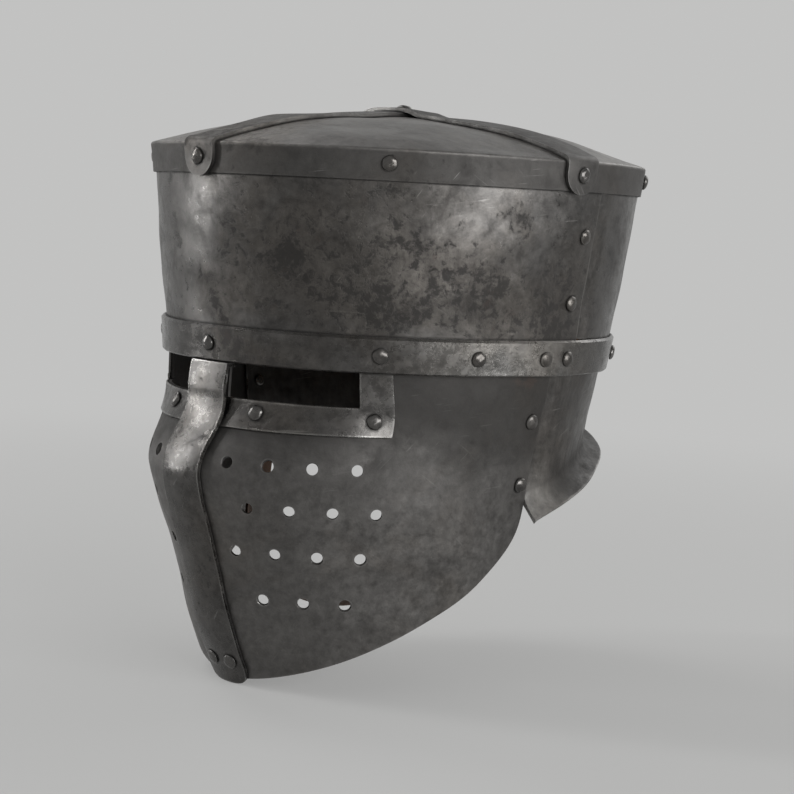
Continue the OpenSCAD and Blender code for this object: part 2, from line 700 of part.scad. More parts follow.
module eye_frame_rivets() {
  off = frame_gap + frame_t + frame_seat;
  color(rivet_steel) for (s = [-1, 1], x = frame_rivet_x)
    on_face(s * x, frame_rivet_z, off) rivet(off + plate_t + tail_gap);
}

module face_seam_rivets() {
  color(rivet_steel) for (s = [-1, 1])
    on_low(s * face_seam_angle, face_seam_z, seat) rivet(seat + step + plate_t + tail_gap);
}

module nasal_rivets() {
  off = nasal_gap + nasal_t;
  color(rivet_steel) for (s = [-1, 1])
    on_face(s * tip_rivet_x, tip_rivet_z, off + 2 * seat) rivet(off + 2 * seat + plate_t + tail_gap);
}

// Lining: a leather band riveted at the brow, a padded roll and the crown's tongues
module liner_band() {
  ts = [for (t = [0:col_step:359]) t];
  color(leather) difference() {
    loft([for (t = ts) [wall_pt(t, liner_top, liner_off - leather_t),
      wall_pt(t, -liner_drop, liner_off - leather_t), wall_pt(t, -liner_drop, liner_off),
      wall_pt(t, liner_top, liner_off)]], closed = true);
    brow_bores();
  }
}

module liner_washers() {
  color(rivet_steel) for (t = brow_angles)
    on_wall(t, 0, liner_off - leather_t - washer_gap - washer_t) difference() {
      cylinder(d = washer_d, h = washer_t);
      translate([0, 0, -over]) cylinder(r = bore_r, h = washer_t + 2 * over);
    }
}

pad_off = liner_off - leather_t - washer_gap - washer_t - tail_gap - tail_h - 0.8;

module brow_pad() {
  low = -liner_drop;
  section = [[0.15, 0], [0, 0.12], [0, 0.88], [0.15, 1], [0.8, 0.92], [1, 0.7], [1, 0.3], [0.8, 0.08]];
  color(linen) loft([for (t = [0:6:359]) [for (s = section)
    wall_pt(t, low + s[1] * pad_h, pad_off - s[0] * pad_t)]], closed = true);
}

// Crown tongues: each runs from the leather band up to the lace
tongue_low = 10;
tongue_off = liner_off - leather_t - 0.15;
hem_r = lace_d / 2 + 0.7;
hem_wall = 1.6;
hem_l = 11;
tongue_angle = 360 / tongue_count;
// Half the plan angle that a tongue covers at the band, and how far it bows out there
tongue_half = 19;
tongue_bow = 6;
knot_angle = 12;
function tongue_mid(i) = tongue_angle * (i - 0.5);
// Distance of the tongue's outer face from the axis along the plan angle t, at the height z
function tongue_reach(t, z) = let (p = wall_pt(t, z, tongue_off)) norm([p[0], p[1]]);

module liner_tongue(i) {
  mid = tongue_mid(i);
  base = liner_top + 4;
  function rise(a) = mix(base, lace_z + hem_r + hem_wall, sin(a));
  function reach(a) = mix(lace_r + 0.5, tongue_reach(mid, base), pow(cos(a), 0.9));
  function half_w(a) = mix(hem_l / 2, tongue_reach(mid, base) * sin(tongue_half), pow(cos(a), 1.2));
  ds = [for (i = [-3:3]) i / 3];
  function arc_row(z, off) = [for (d = ds) wall_pt(mid + d * tongue_half, z, tongue_off - off)];
  function row(a, off) = [for (d = ds)
    let (w = d * half_w(a), bow = (0.4 - d * d) * tongue_bow * cos(a), r = reach(a) + bow - off * cos(a))
    [r * sin(mid) + w * cos(mid), -r * cos(mid) + w * sin(mid), rise(a) - off * sin(a)]];
  outer = concat([for (a = [90:-15:15]) row(a, 0)], [arc_row(liner_top, 0), arc_row(tongue_low, 0)]);
  inner = concat([for (a = [90:-15:15]) row(a, leather_t)],
    [arc_row(liner_top, leather_t), arc_row(tongue_low, leather_t)]);
  color(leather) {
    difference() {
      union() {
        sheet(outer, inner);
        translate([lace_r * sin(mid), -lace_r * cos(mid), lace_z]) rotate([0, 0, mid])
          rotate([0, 90, 0]) cylinder(r = hem_r + hem_wall, h = hem_l, center = true);
      }
      translate([lace_r * sin(mid), -lace_r * cos(mid), lace_z]) rotate([0, 0, mid])
        rotate([0, 90, 0]) cylinder(r = hem_r, h = hem_l + 2 * over, center = true);
    }
  }
}

module liner_lace() {
  color(linen) {
    translate([0, 0, lace_z]) {
      rotate_extrude() translate([lace_r, 0]) circle(d = lace_d, $fn = 24);
      // Knot at the back
      rotate([0, 0, 90 - knot_angle / 2]) rotate_extrude(angle = knot_angle)
        translate([lace_r, 0]) circle(d = lace_d * 2, $fn = 24);
    }
  }
}

// Chin strap. Its pivot line runs through the two lower seam rivets
pivot_y = low_pt(face_seam_angle, chin_pivot_z)[1];
pivot_x = low_pt(face_seam_angle, chin_pivot_z)[0];
tab_r = strap_w / 2;
// The tab hangs clear of the sloping wall all round
tab_clear = 0.9;
pivot_gap = 0.08;
washer_seat = 0.1;
tab_out = pivot_x - step - plate_t - side_taper * tab_r - tab_clear;
tab_in = tab_out - strap_t;
tab_mid = tab_out - strap_t / 2;

module chin_strap_rivets() {
  grip_in = tab_in - washer_seat;
  color(rivet_steel) for (s = [-1, 1]) {
    place(low_pt(s * face_seam_angle, chin_pivot_z, seat), low_normal(s * face_seam_angle, chin_pivot_z))
      rivet_head();
    translate([0, pivot_y, chin_pivot_z]) rotate([0, s * 90, 0]) {
      translate([0, 0, grip_in]) cylinder(r = shank_r, h = pivot_x - grip_in + head_h / 3);
      translate([0, 0, grip_in - tail_h]) cylinder(d = tail_d + 2, h = tail_h);
    }
  }
}

module chin_strap_spacers() {
  x = tab_out + pivot_gap;
  t = pivot_x - step - plate_t - side_taper * tail_d / 2 - washer_seat - x;
  color(rivet_steel) for (s = [-1, 1])
    translate([0, pivot_y, chin_pivot_z]) rotate([0, s * 90, 0]) translate([0, 0, x]) difference() {
      cylinder(d = tail_d, h = t);
      translate([0, 0, -over]) cylinder(r = bore_r, h = t + 2 * over);
    }
}

// The strap is drawn flat: first the distance across, then the distance from the pivot
module strap_plane() {
  translate([0, pivot_y, chin_pivot_z]) rotate([-90 - strap_lean, 0, 0]) children();
}

leg_top = [tab_mid, 5];
leg_low = [tab_mid - 36, 57];
leg_dir = unit(leg_low - leg_top);
leg_out = [leg_dir[1], -leg_dir[0]];
// Distance of the buckle's bar down the leg
bar_at = 44;
function leg_pt(s, n) = leg_top + leg_dir * s + leg_out * n;
wire_r = wire_d / 2;
layer = strap_t + 0.5;
top_layer = wire_r + 1.5 * strap_t + 0.8;
// Where the legs end and the strap bows under the chin
bow_from = 60;
function bow_pt(u) = let (a = leg_pt(bow_from, layer), c = [0, strap_drop],
    b = a + leg_dir * (strap_drop - a[1]) / leg_dir[1])
  (1 - u) * (1 - u) * a + 2 * u * (1 - u) * b + u * u * c;
function flip(p) = [-p[0], p[1]];
bow = [for (i = [0:7]) bow_pt(i / 7)];
// Long strap: from the wearer's right, under the chin and up through the buckle
long_path = concat([[-tab_mid, 0], flip(leg_top)], [for (i = [0:7]) flip(bow[i])],
  [for (i = [6:-1:0]) bow[i]], [leg_pt(bar_at + 13, layer), leg_pt(bar_at + 3, layer + top_layer),
  leg_pt(bar_at - 2, layer + top_layer), leg_pt(bar_at - 28, layer + top_layer)]);
function path_normal(p, i) = let (a = p[max(i - 1, 0)], b = p[min(i + 1, len(p) - 1)], d = unit(b - a)) [d[1], -d[0]];
function ribbon(p, t) = concat([for (i = [0:len(p) - 1]) p[i] + path_normal(p, i) * t / 2],
  [for (i = [len(p) - 1:-1:0]) p[i] - path_normal(p, i) * t / 2]);

module tab(side) {
  translate([side * tab_mid, 0, 0]) rotate([0, 90, 0]) cylinder(r = tab_r, h = strap_t, center = true);
}

module tab_bore() {
  rotate([0, 90, 0]) cylinder(r = shank_r + pivot_gap, h = 4 * tab_mid, center = true);
}

module chin_strap_long() {
  color(leather) strap_plane() difference() {
    union() {
      linear_extrude(height = strap_w, center = true) polygon(ribbon(long_path, strap_t));
      tab(-1);
    }
    tab_bore();
    // Slot for the buckle's tongue
    leg_frame() translate([-1.8, -2, -tongue_slot / 2]) cube([12, 14, tongue_slot]);
  }
}

// Stands its children on the buckle's bar: X runs down the leg, Y outwards and Z across
module leg_frame() {
  p = leg_pt(bar_at, layer);
  translate([p[0], p[1], 0]) rotate([0, 0, atan2(leg_dir[1], leg_dir[0])])
    mirror([0, 1, 0]) children();
}

fold_in = wire_r + 0.15;
fold_out = fold_in + strap_t;

// How far the strap's end runs back after its turn round the buckle's bar
fold_tail = 15;
tongue_slot = 3.8;

module chin_strap_short() {
  y0 = -layer;
  top = -bar_at + 6;
  color(leather) strap_plane() difference() {
    union() {
      leg_frame() linear_extrude(height = strap_w, center = true) {
        circle(r = fold_out, $fn = 32);
        polygon([[0, -fold_out], [0, fold_out], [-3, fold_out - 0.4], [-fold_tail, 0.4],
          [-fold_tail, y0 + strap_t / 2], [top, y0 + strap_t / 2], [top, y0 - strap_t / 2],
          [-fold_tail - 1, y0 - strap_t / 2], [-4, -fold_out]]);
      }
      linear_extrude(height = strap_w, center = true)
        polygon(ribbon([[tab_mid, 0], leg_top, leg_pt(7, 0)], strap_t));
      tab(1);
    }
    leg_frame() {
      cylinder(r = fold_in, h = strap_w + 2 * over, center = true);
      translate([-3.6, -5, -tongue_slot / 2]) cube([10, 10, tongue_slot]);
    }
    tab_bore();
  }
}

frame_w = strap_w + 4.4;
frame_lift = wire_r + strap_t / 2 + 0.5;

module buckle_frame() {
  reach = norm([buckle_l, frame_lift]);
  tilt = atan2(frame_lift, buckle_l);
  color(rivet_steel) strap_plane() leg_frame() rotate([0, 0, tilt]) {
    for (x = [0, reach]) translate([x, 0, 0]) cylinder(r = wire_r, h = frame_w, center = true);
    for (z = [-1, 1]) translate([0, 0, z * frame_w / 2]) rotate([0, 90, 0]) cylinder(r = wire_r, h = reach);
    for (x = [0, reach], z = [-1, 1]) translate([x, 0, z * frame_w / 2]) sphere(r = wire_r);
  }
}

module buckle_tongue() {
  inner = wire_r + shank_gap;
  outer = inner + 1.1;
  far = frame_lift + wire_r + 0.15;
  color(rivet_steel) strap_plane() leg_frame() difference() {
    linear_extrude(height = tongue_slot - 1.2, center = true) {
      circle(r = outer, $fn = 32);
      polygon([[0.4, 0.9], [1.4, 0.3], [2.6, 0.9], [buckle_l, far], [buckle_l + 2.4, far + 0.3],
        [buckle_l + 2.2, far + 1.3], [buckle_l - 2, far + 1.9], [1, outer]]);
    }
    cylinder(r = inner, h = 8, center = true);
  }
}

module strap_keeper() {
  wall = 1.5;
  gap = 0.35;
  keeper_w = 8;
  y_lo = -layer - strap_t / 2 - gap;
  y_hi = top_layer + strap_t / 2 + gap;
  half = strap_w / 2 + gap;
  color(leather) strap_plane() leg_frame() translate([-22, 0, 0]) difference() {
    translate([0, y_lo - wall, -half - wall]) cube([keeper_w, y_hi - y_lo + 2 * wall, 2 * (half + wall)]);
    translate([-over, y_lo, -half]) cube([keeper_w + 2 * over, y_hi - y_lo, 2 * half]);
  }
}

cap_plate();
cap_strap_long();
cap_strap_cross();
skull_plate_front();
skull_plate_back();
brow_band_front();
brow_band_back();
face_plate();
nape_plate();
eye_frame(1);  // eye_frame_left
eye_frame(-1);  // eye_frame_right
nasal_strap();
crown_rivet();
cap_strap_rivets();
cap_rim_rivets();
skull_seam_rivets();
brow_band_rivets();
eye_frame_rivets();
face_seam_rivets();
nasal_rivets();
liner_band();
liner_washers();
brow_pad();
liner_tongue(1);  // liner_tongue_1
liner_tongue(2);  // liner_tongue_2
liner_tongue(3);  // liner_tongue_3
liner_tongue(4);  // liner_tongue_4
liner_tongue(5);  // liner_tongue_5
liner_tongue(6);  // liner_tongue_6
liner_tongue(7);  // liner_tongue_7
liner_tongue(8);  // liner_tongue_8
liner_lace();
chin_strap_rivets();
chin_strap_spacers();
chin_strap_long();
chin_strap_short();
buckle_frame();
buckle_tongue();
strap_keeper();
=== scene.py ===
import math
from contextlib import contextmanager

import bpy
import numpy as np
from mathutils import Matrix, Vector
from mathutils.bvhtree import BVHTree
from mathutils.kdtree import KDTree


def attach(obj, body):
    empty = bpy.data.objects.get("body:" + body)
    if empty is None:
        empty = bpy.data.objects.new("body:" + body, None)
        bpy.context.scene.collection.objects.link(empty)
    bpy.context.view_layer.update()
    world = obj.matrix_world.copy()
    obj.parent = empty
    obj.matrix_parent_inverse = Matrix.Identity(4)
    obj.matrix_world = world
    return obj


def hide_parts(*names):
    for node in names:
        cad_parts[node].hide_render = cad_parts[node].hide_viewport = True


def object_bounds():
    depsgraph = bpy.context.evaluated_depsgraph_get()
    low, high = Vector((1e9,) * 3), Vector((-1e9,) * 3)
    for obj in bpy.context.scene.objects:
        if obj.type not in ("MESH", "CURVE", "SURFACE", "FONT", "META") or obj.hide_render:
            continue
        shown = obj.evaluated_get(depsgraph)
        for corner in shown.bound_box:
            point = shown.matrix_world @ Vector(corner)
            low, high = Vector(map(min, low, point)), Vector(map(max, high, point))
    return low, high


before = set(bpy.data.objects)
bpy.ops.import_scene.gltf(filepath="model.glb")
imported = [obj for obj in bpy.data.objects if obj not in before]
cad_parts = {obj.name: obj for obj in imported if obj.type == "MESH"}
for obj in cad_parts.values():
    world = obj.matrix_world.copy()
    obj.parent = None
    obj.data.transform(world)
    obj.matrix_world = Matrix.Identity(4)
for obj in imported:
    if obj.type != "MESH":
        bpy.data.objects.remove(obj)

bl_info = {
    "name": "Great helm",
    "version": (1, 0, 0),
    "blender": (4, 5, 0),
    "location": "3D View > Sidebar > Great helm",
    "description": "Dresses a riveted great helm: steel shell, lining and chin strap",
    "category": "Object",
}

CAD_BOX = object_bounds()
MM = 0.001

# Sizes of the part, in millimetres, as its source has them
BROW_W, BROW_L, BROW_FORWARD = 226.0, 245.0, 2.6
TOP_W, TOP_L, WALL_TOP = 248.0, 272.0, 96.5
PLATE_T, PLATE_GAP, STEP = 1.4, 0.12, 1.52
SKULL_SEAM, FACE_SEAM, LAP_ANGLE = 100.7, 93.0, 8.2
RIM_H, DOME_RISE, DOME_POWER = 14.9, 20.2, 2.2
STRAP_W, STRAP_T, STRAP_CLIMB, TONGUE_DROP = 22.0, 2.2, 14.0, 2.0
BAND_HALF, BAND_T, BAND_BEVEL, BAND_PROUD = 8.9, 2.4, 1.3, 0.25
SLOT_BOTTOM, SLOT_END, SLOT_START = -26.2, 74.4, 11.0
NOSE_Z, NOSE_RISE, CHIN_Z, CHIN_IN = -64.0, 17.0, -171.8, 19.1
SIDE_TAPER, BACK_TAPER, KEEL_POWER, CORNER_Z = 0.163, 0.19, 1.68, -77.2
HOLE_D, HOLE_PITCH, HOLE_START, HOLE_TOP, HOLE_ROW = 5.7, 21.5, 25.0, -56.4, 23.0
HOLE_COUNTS, HOLE_ROWS = (4, 4, 4, 3), (0, 0.96, 1.95, 3)
FRAME_H, FRAME_LEG, FRAME_T, FRAME_GAP, FRAME_SEAT = 14.0, 10.9, 1.3, 0.2, 0.5
NASAL_W, NASAL_T, NASAL_DROP, NASAL_GAP = 27.6, 2.2, 2.4, 0.3
CREASE_SIDE, CREASE_SLOPE = -76.5, 0.285
FLARE_W, FLARE_BACK, FLARE_SIDE, FLARE_SLOPE = 217.8, 124.8, -83.3, 0.302
FLARE_SOFT, FLARE_LEAD = 6.0, 2.7
HEAD_D, HEAD_H, SHANK_R, TAIL_D, TAIL_H = 7.8, 2.3, 2.0, 6.4, 1.1
SEAT, TAIL_GAP, TOP_GAP, STRAP_GAP = 0.05, 0.2, 0.2, 0.2
SET_FROM, SET_TO = 0.3, 5.8
CHIN_PIVOT_Z = -65.2
LEATHER_T, LINER_TOP, LINER_DROP = 2.0, 20.0, 6.0
WASHER_GAP, WASHER_T = 0.3, 0.8
TONGUES, TONGUE_LOW, TONGUE_HALF, TONGUE_BOW = 8, 10.0, 19.0, 6.0
LACE_Z, LACE_R, LACE_D, HEM_WALL, HEM_L = 99.0, 27.0, 2.6, 1.6, 11.0
PAD_T, PAD_H, CHANNELS = 11.0, 32.0, 44
TAB_R, STRAP_LEATHER_T, STRAP_DROP, STRAP_LEAN = 8.5, 1.8, 86.0, 38.0
TAB_MID, PIVOT_Y, BAR_AT, WIRE_R, SLOT_W, FOLD_TAIL = 95.1806, -3.79323, 44.0, 1.4, 3.8, 15.0
LEG_TOP, LEG_LOW = (TAB_MID, 5.0), (TAB_MID - 36, 57.0)
# Pulls of the curve along the face plate's lower edge, at the seam and at the chin
SEAM_PULL, CHIN_PULL = (0, -34), (63.2, 42.8)
# Half width and half length of the cap and of the walls, as the plates' unevenness takes them
UNEVEN_CAP, UNEVEN_WALL = (125.5, 137.5), (113, 122)
STITCH = (1.3, 0.4, 0.4)

HALF_BAND = (BAND_T - PLATE_GAP) / 2
RIM_TOP = WALL_TOP + PLATE_T + TOP_GAP
RIM_LOW = RIM_TOP - RIM_H
CAP_OFF = PLATE_GAP + PLATE_T
BAND_OUT = PLATE_GAP + BAND_T + BAND_PROUD
FRAME_LOW = SLOT_BOTTOM - FRAME_H
LINER_OFF = -3 * STEP - PLATE_T - 2 * PLATE_GAP
TONGUE_OFF = LINER_OFF - LEATHER_T - 0.15
HEM_R = LACE_D / 2 + 0.7
PAD_OFF = LINER_OFF - LEATHER_T - WASHER_GAP - WASHER_T - TAIL_GAP - TAIL_H - 0.8
LEG_DIR = np.subtract(LEG_LOW, LEG_TOP) / np.linalg.norm(np.subtract(LEG_LOW, LEG_TOP))
LEG_OUT = np.array([LEG_DIR[1], -LEG_DIR[0]])
LAYER, TOP_LAYER, FOLD_R = STRAP_LEATHER_T + 0.5, WIRE_R + 1.5 * STRAP_LEATHER_T + 0.8, WIRE_R + 0.15
KEEPER_LOW, KEEPER_HIGH, KEEPER_HALF = -LAYER - 2.75, TOP_LAYER + 2.75, TAB_R + 1.85


# ---- The helm's surfaces, as the part's source gives them ----

def mix(a, b, k):
    return a + (b - a) * k


def sind(t):
    return np.sin(np.radians(t))


def cosd(t):
    return np.cos(np.radians(t))


def ease(k):
    return (1 - np.cos(np.pi * np.clip(k, 0, 1))) / 2


def powered(x, power):
    """x to a power, with its sign kept."""
    return np.sign(x) * np.abs(x) ** power


def fold(t):
    """The angle t as it is on either side, from 0 at the front to 180 at the back."""
    turn = np.abs(t) % 360
    return np.where(turn > 180, 360 - turn, turn)


def stack(x, y, z):
    return np.stack(np.broadcast_arrays(x, y, z), -1).astype(float)


def spread(v, rows):
    """Carries v, from 0 to 1, to stretches of a surface that take so many rows each."""
    ends = np.concatenate([[0], np.cumsum(rows)]) / sum(rows)
    return np.interp(v, ends, range(len(rows) + 1))


def between(s, stops):
    """Value at s along a run of stops, each a number or an array."""
    table = np.stack(np.broadcast_arrays(*[np.asarray(a, float) + 0 * s for a in stops]))
    k = np.clip(np.floor(s).astype(int), 0, len(stops) - 2)
    low = np.take_along_axis(table, k[None], 0)[0]
    high = np.take_along_axis(table, k[None] + 1, 0)[0]
    return mix(low, high, s - k)


def curve(a, b, c, k):
    """Point at k on the soft corner from a by b to c."""
    k = np.asarray(k)[..., None]
    return (1 - k) ** 2 * a + 2 * k * (1 - k) * b + k * k * c


def wall_hw(z):
    return mix(BROW_W, TOP_W, z / WALL_TOP) / 2


def wall_hl(z):
    return mix(BROW_L, TOP_L, z / WALL_TOP) / 2


def wall_cy(z):
    return -BROW_FORWARD * (1 - z / WALL_TOP)


def wall(t, z, off=0.0):
    return stack((wall_hw(z) + off) * sind(t), wall_cy(z) - (wall_hl(z) + off) * cosd(t), z)


def low_cy(z):
    return wall_cy(np.maximum(z, -BAND_HALF))


def low_hw(z):
    return wall_hw(np.maximum(z, -BAND_HALF)) - STEP + SIDE_TAPER * np.minimum(z + BAND_HALF, 0)


def keel(z):
    base = wall_hl(np.maximum(z, -BAND_HALF)) - STEP
    brow = base + NOSE_RISE * ease((SLOT_BOTTOM - z) / (SLOT_BOTTOM - NOSE_Z))
    chin = np.maximum((NOSE_Z - z) / (NOSE_Z - CHIN_Z), 0) ** 1.2
    return np.where(z >= NOSE_Z, brow, base + NOSE_RISE - (NOSE_RISE + CHIN_IN) * chin)


def back_hl(z):
    return wall_hl(np.maximum(z, -BAND_HALF)) - STEP + BACK_TAPER * np.minimum(z + BAND_HALF, 0)


def section_power(z):
    return np.interp(z, [CHIN_Z, FRAME_LOW, -BAND_HALF], [KEEL_POWER, 2.05, 2.0])


def low(t, z, off=0.0):
    """Point of the lower wall at the plan angle t from the front."""
    c = cosd(t)
    half = np.where(c > 0, keel(z), back_hl(z))
    power = np.where(c > 0, section_power(z), 2.0)
    side = np.maximum(1 - c * c, 0) ** (1 / power)
    return stack(np.sign(sind(t)) * (low_hw(z) + off) * side, low_cy(z) - (half + off) * c, z)


def face(x, z, off=0.0):
    """Point of the face at the distance x from the middle."""
    share = np.minimum((np.abs(x) / (low_hw(z) + off)) ** section_power(z), 1)
    return stack(x, low_cy(z) - (keel(z) + off) * np.sqrt(1 - share), z)


def normal(surface, a, b, d=0.5):
    along = surface(a + d, b) - surface(a - d, b)
    up = surface(a, b + d) - surface(a, b - d)
    out = np.cross(along, up)
    return out / np.linalg.norm(out, axis=-1, keepdims=True)


def face_edge(t):
    """Height of the face plate's lower edge at the plan angle t."""
    rear = np.array([low(np.array(FACE_SEAM), np.array(CORNER_Z))[1], CORNER_Z])
    chin = np.array([low_cy(CHIN_Z) - keel(CHIN_Z), CHIN_Z])
    k = np.linspace(0, 1, 900)[:, None]
    line = ((1 - k) ** 3 * rear + 3 * k * (1 - k) ** 2 * (rear + SEAM_PULL)
            + 3 * k * k * (1 - k) * (chin + CHIN_PULL) + k ** 3 * chin)
    ahead = low_cy(line[:, 1]) - line[:, 0]
    cosine = ahead / np.where(ahead > 0, keel(line[:, 1]), back_hl(line[:, 1]))
    return np.interp(cosd(t), cosine, line[:, 1])


def set_in(t, seam):
    return STEP * (1 - ease((fold(t) - seam - SET_FROM) / (SET_TO - SET_FROM)))


def dome(f, t, off=0.0):
    z = RIM_TOP + DOME_RISE * (1 - f ** DOME_POWER)
    return stack(f * (wall_hw(RIM_TOP) + CAP_OFF) * sind(t),
                 wall_cy(RIM_TOP) - f * (wall_hl(RIM_TOP) + CAP_OFF) * cosd(t), z + off)


def crease_z(y):
    return CREASE_SIDE + CREASE_SLOPE * y


def worn(a, b, c):
    """Point of the chin strap as it is worn: a across the helm, b down from the pivot line
    and c across the strap's width."""
    down, out = cosd(STRAP_LEAN), sind(STRAP_LEAN)
    return stack(a, PIVOT_Y - out * b + down * c, CHIN_PIVOT_Z - down * b - out * c)


def flare(t, q):
    """Nape plate from just above its crease, q = 0, to the flare's outer edge, q = 1."""
    foot = crease_z(low(t, crease_z(low(t, CREASE_SIDE + 0 * t)[..., 1]))[..., 1])
    ahead = t + np.where(t < 180, -1, 1) * FLARE_LEAD * (1 - ease((fold(t) - FACE_SEAM) / 40))
    y = -FLARE_BACK * cosd(ahead)
    edge = stack(FLARE_W / 2 * sind(ahead), y, FLARE_SIDE + FLARE_SLOPE * y)
    inset = set_in(t, FACE_SEAM)
    out = curve(low(t, foot + FLARE_SOFT), low(t, foot), edge, q)
    out = out - (inset * (1 - q))[..., None] * stack(sind(t), -cosd(t), 0)
    tab = low(t, foot + FLARE_SOFT * (1 - q), -inset)
    return np.where((fold(t) < FACE_SEAM + SET_FROM + 0.1)[..., None], tab, out)


def nasal_lift(z):
    return np.interp(z, [NOSE_Z + 2, FRAME_LOW - 10, FRAME_LOW, SLOT_BOTTOM - 4, SLOT_BOTTOM + 4,
                         SLOT_BOTTOM + 11, -BAND_HALF], [NASAL_GAP, 1.5, 2.4, 3.4, 3.9, 3.5, 2.4])


def dent_wave(seed):
    """Direction, phase and size of one wave of the plates' unevenness."""
    direction, length = np.random.default_rng(seed).normal(size=3), 26 + 9 * seed
    return direction / np.linalg.norm(direction) * 2 * math.pi / length, 1.7 * seed, 0.009 * length


DENT_WAVES = [dent_wave(seed) for seed in range(8)]


def dented(p, depth):
    """Points p with the slow unevenness of hand-raised steel. Plates that lie on each
    other move together, because it depends on the place alone."""
    x, y, z = p[..., 0], p[..., 1], p[..., 2]
    f = np.hypot(x / UNEVEN_CAP[0], (y - wall_cy(RIM_TOP)) / UNEVEN_CAP[1])
    up = np.clip((z - RIM_TOP + 1) / 4, 0, 1) * np.clip((1 - f) * 12, 0, 1)
    across, along = x / UNEVEN_WALL[0], y / UNEVEN_WALL[1]
    plan = np.hypot(across, along) + 1e-6
    out = stack(across / plan * (1 - up), along / plan * (1 - up), up)
    rise = sum(size * np.sin(p @ wave + phase) for wave, phase, size in DENT_WAVES)
    return p + (depth * rise)[..., None] * out


# ---- Hand tools: thin wrappers round Blender's own operators ----

def settings():
    return bpy.context.scene.helm_sizes


def deselect():
    bpy.ops.object.select_all(action="DESELECT")


def take(obj):
    deselect()
    obj.select_set(True)
    bpy.context.view_layer.objects.active = obj


def discard(obj):
    bpy.data.objects.remove(obj, do_unlink=True)


@contextmanager
def editing(obj, mode="VERT"):
    take(obj)
    bpy.ops.object.mode_set(mode="EDIT")
    bpy.ops.mesh.select_mode(type=mode)
    bpy.ops.mesh.select_all(action="SELECT")
    yield
    bpy.ops.object.mode_set(mode="OBJECT")


def fetch(items, key, width=1, kind=float):
    """One property of all of a mesh's points, edges, corners or faces."""
    flat = np.empty(len(items) * width, kind)
    items.foreach_get(key, flat)
    return flat.reshape(-1, width) if width > 1 else flat


def points(obj):
    return fetch(obj.data.vertices, "co", 3)


def move_points(obj, places):
    obj.data.vertices.foreach_set("co", np.ascontiguousarray(places).ravel())
    obj.data.update()


def named(obj, name):
    obj.name = obj.data.name = name
    return obj


def apply_modifier(obj, kind, **options):
    modifier = obj.modifiers.new(kind.title(), kind)
    for key, value in options.items():
        setattr(modifier, key, value)
    take(obj)
    bpy.ops.object.modifier_apply(modifier=modifier.name)


def lay_sheet(name, columns, rows, place, weld=False, dent=None):
    """Adds a flat grid and forms it: place gives each point of the sheet in millimetres."""
    deselect()
    bpy.ops.mesh.primitive_grid_add(x_subdivisions=columns, y_subdivisions=rows, size=1)
    obj = named(bpy.context.object, name)
    flat = points(obj)
    shape = place(flat[:, 0] + 0.5, flat[:, 1] + 0.5)
    if dent is None:
        dent = settings().dent_depth / MM
    move_points(obj, dented(shape, dent) * MM)
    if weld:
        with editing(obj):
            bpy.ops.mesh.remove_doubles(threshold=1e-6)
    return obj


def drop_faces(obj, gone):
    """Deletes the faces whose centres gone() picks, in millimetres."""
    with editing(obj, "FACE"):
        bpy.ops.mesh.select_all(action="DESELECT")
        bpy.ops.object.mode_set(mode="OBJECT")
        faces = obj.data.polygons
        faces.foreach_set("select", gone(fetch(faces, "center", 3) / MM))
        bpy.ops.object.mode_set(mode="EDIT")
        bpy.ops.mesh.delete(type="FACE")


def soften(obj, rounding=None, angle=50):
    """Rounds the edges that turn by more than the angle."""
    width = settings().edge_round if rounding is None else rounding * MM
    apply_modifier(obj, "BEVEL", width=width, segments=2, limit_method="ANGLE",
                   angle_limit=math.radians(angle), use_clamp_overlap=True)


def smooth(obj, angle=40):
    take(obj)
    bpy.ops.object.shade_smooth_by_angle(angle=math.radians(angle))
    apply_modifier(obj, "WEIGHTED_NORMAL", keep_sharp=True)


def joined(name, parts):
    take(parts[0])
    for part in parts:
        part.select_set(True)
    if len(parts) > 1:
        bpy.ops.object.join()
    return named(bpy.context.object, name)


def cut(obj, tools):
    """Cuts the tools' joined shape out of obj and throws the tools away."""
    tool = joined("tool", tools)
    apply_modifier(obj, "BOOLEAN", object=tool, operation="DIFFERENCE", solver="EXACT")
    discard(tool)


def block(low_corner, high_corner):
    """A box between two corners, in millimetres."""
    a, b = np.array(low_corner, float), np.array(high_corner, float)
    deselect()
    bpy.ops.mesh.primitive_cube_add(size=1, location=(a + b) / 2 * MM, scale=(b - a) * MM)
    bpy.ops.object.transform_apply(location=True, rotation=False, scale=True)
    return bpy.context.object


def turned(name, outline, sides=32):
    """A turned shape: outline gives radius and height from the lower end up, in millimetres."""
    radius, height = outline[0]
    deselect()
    bpy.ops.mesh.primitive_circle_add(vertices=sides, radius=radius * MM, fill_type="NGON",
                                      location=(0, 0, height * MM))
    obj = named(bpy.context.object, name)
    bpy.ops.object.transform_apply(location=True, rotation=False, scale=False)
    with editing(obj, "FACE"):
        for new_radius, new_height in outline[1:]:
            bpy.ops.mesh.extrude_region_move(
                TRANSFORM_OT_translate={"value": (0, 0, (new_height - height) * MM)})
            size = new_radius / radius
            bpy.ops.transform.resize(value=(size, size, 1), center_override=(0, 0, new_height * MM))
            radius, height = new_radius, new_height
        bpy.ops.mesh.select_all(action="SELECT")
        bpy.ops.mesh.normals_make_consistent(inside=False)
    return obj


def copied(pattern, matrix):
    """A copy of the pattern with its own mesh, moved by the matrix."""
    obj = bpy.data.objects.new("copy", pattern.data.copy())
    bpy.context.collection.objects.link(obj)
    obj.data.transform(matrix)
    return obj


def stood(pattern, place, out, turn=0.0):
    """A copy of a turned pattern, stood on place along out."""
    basis = Vector(out).normalized().to_track_quat("Z", "Y").to_matrix().to_4x4()
    return copied(pattern, Matrix.Translation(Vector(place) * MM) @ basis @ Matrix.Rotation(turn, 4, "Z"))


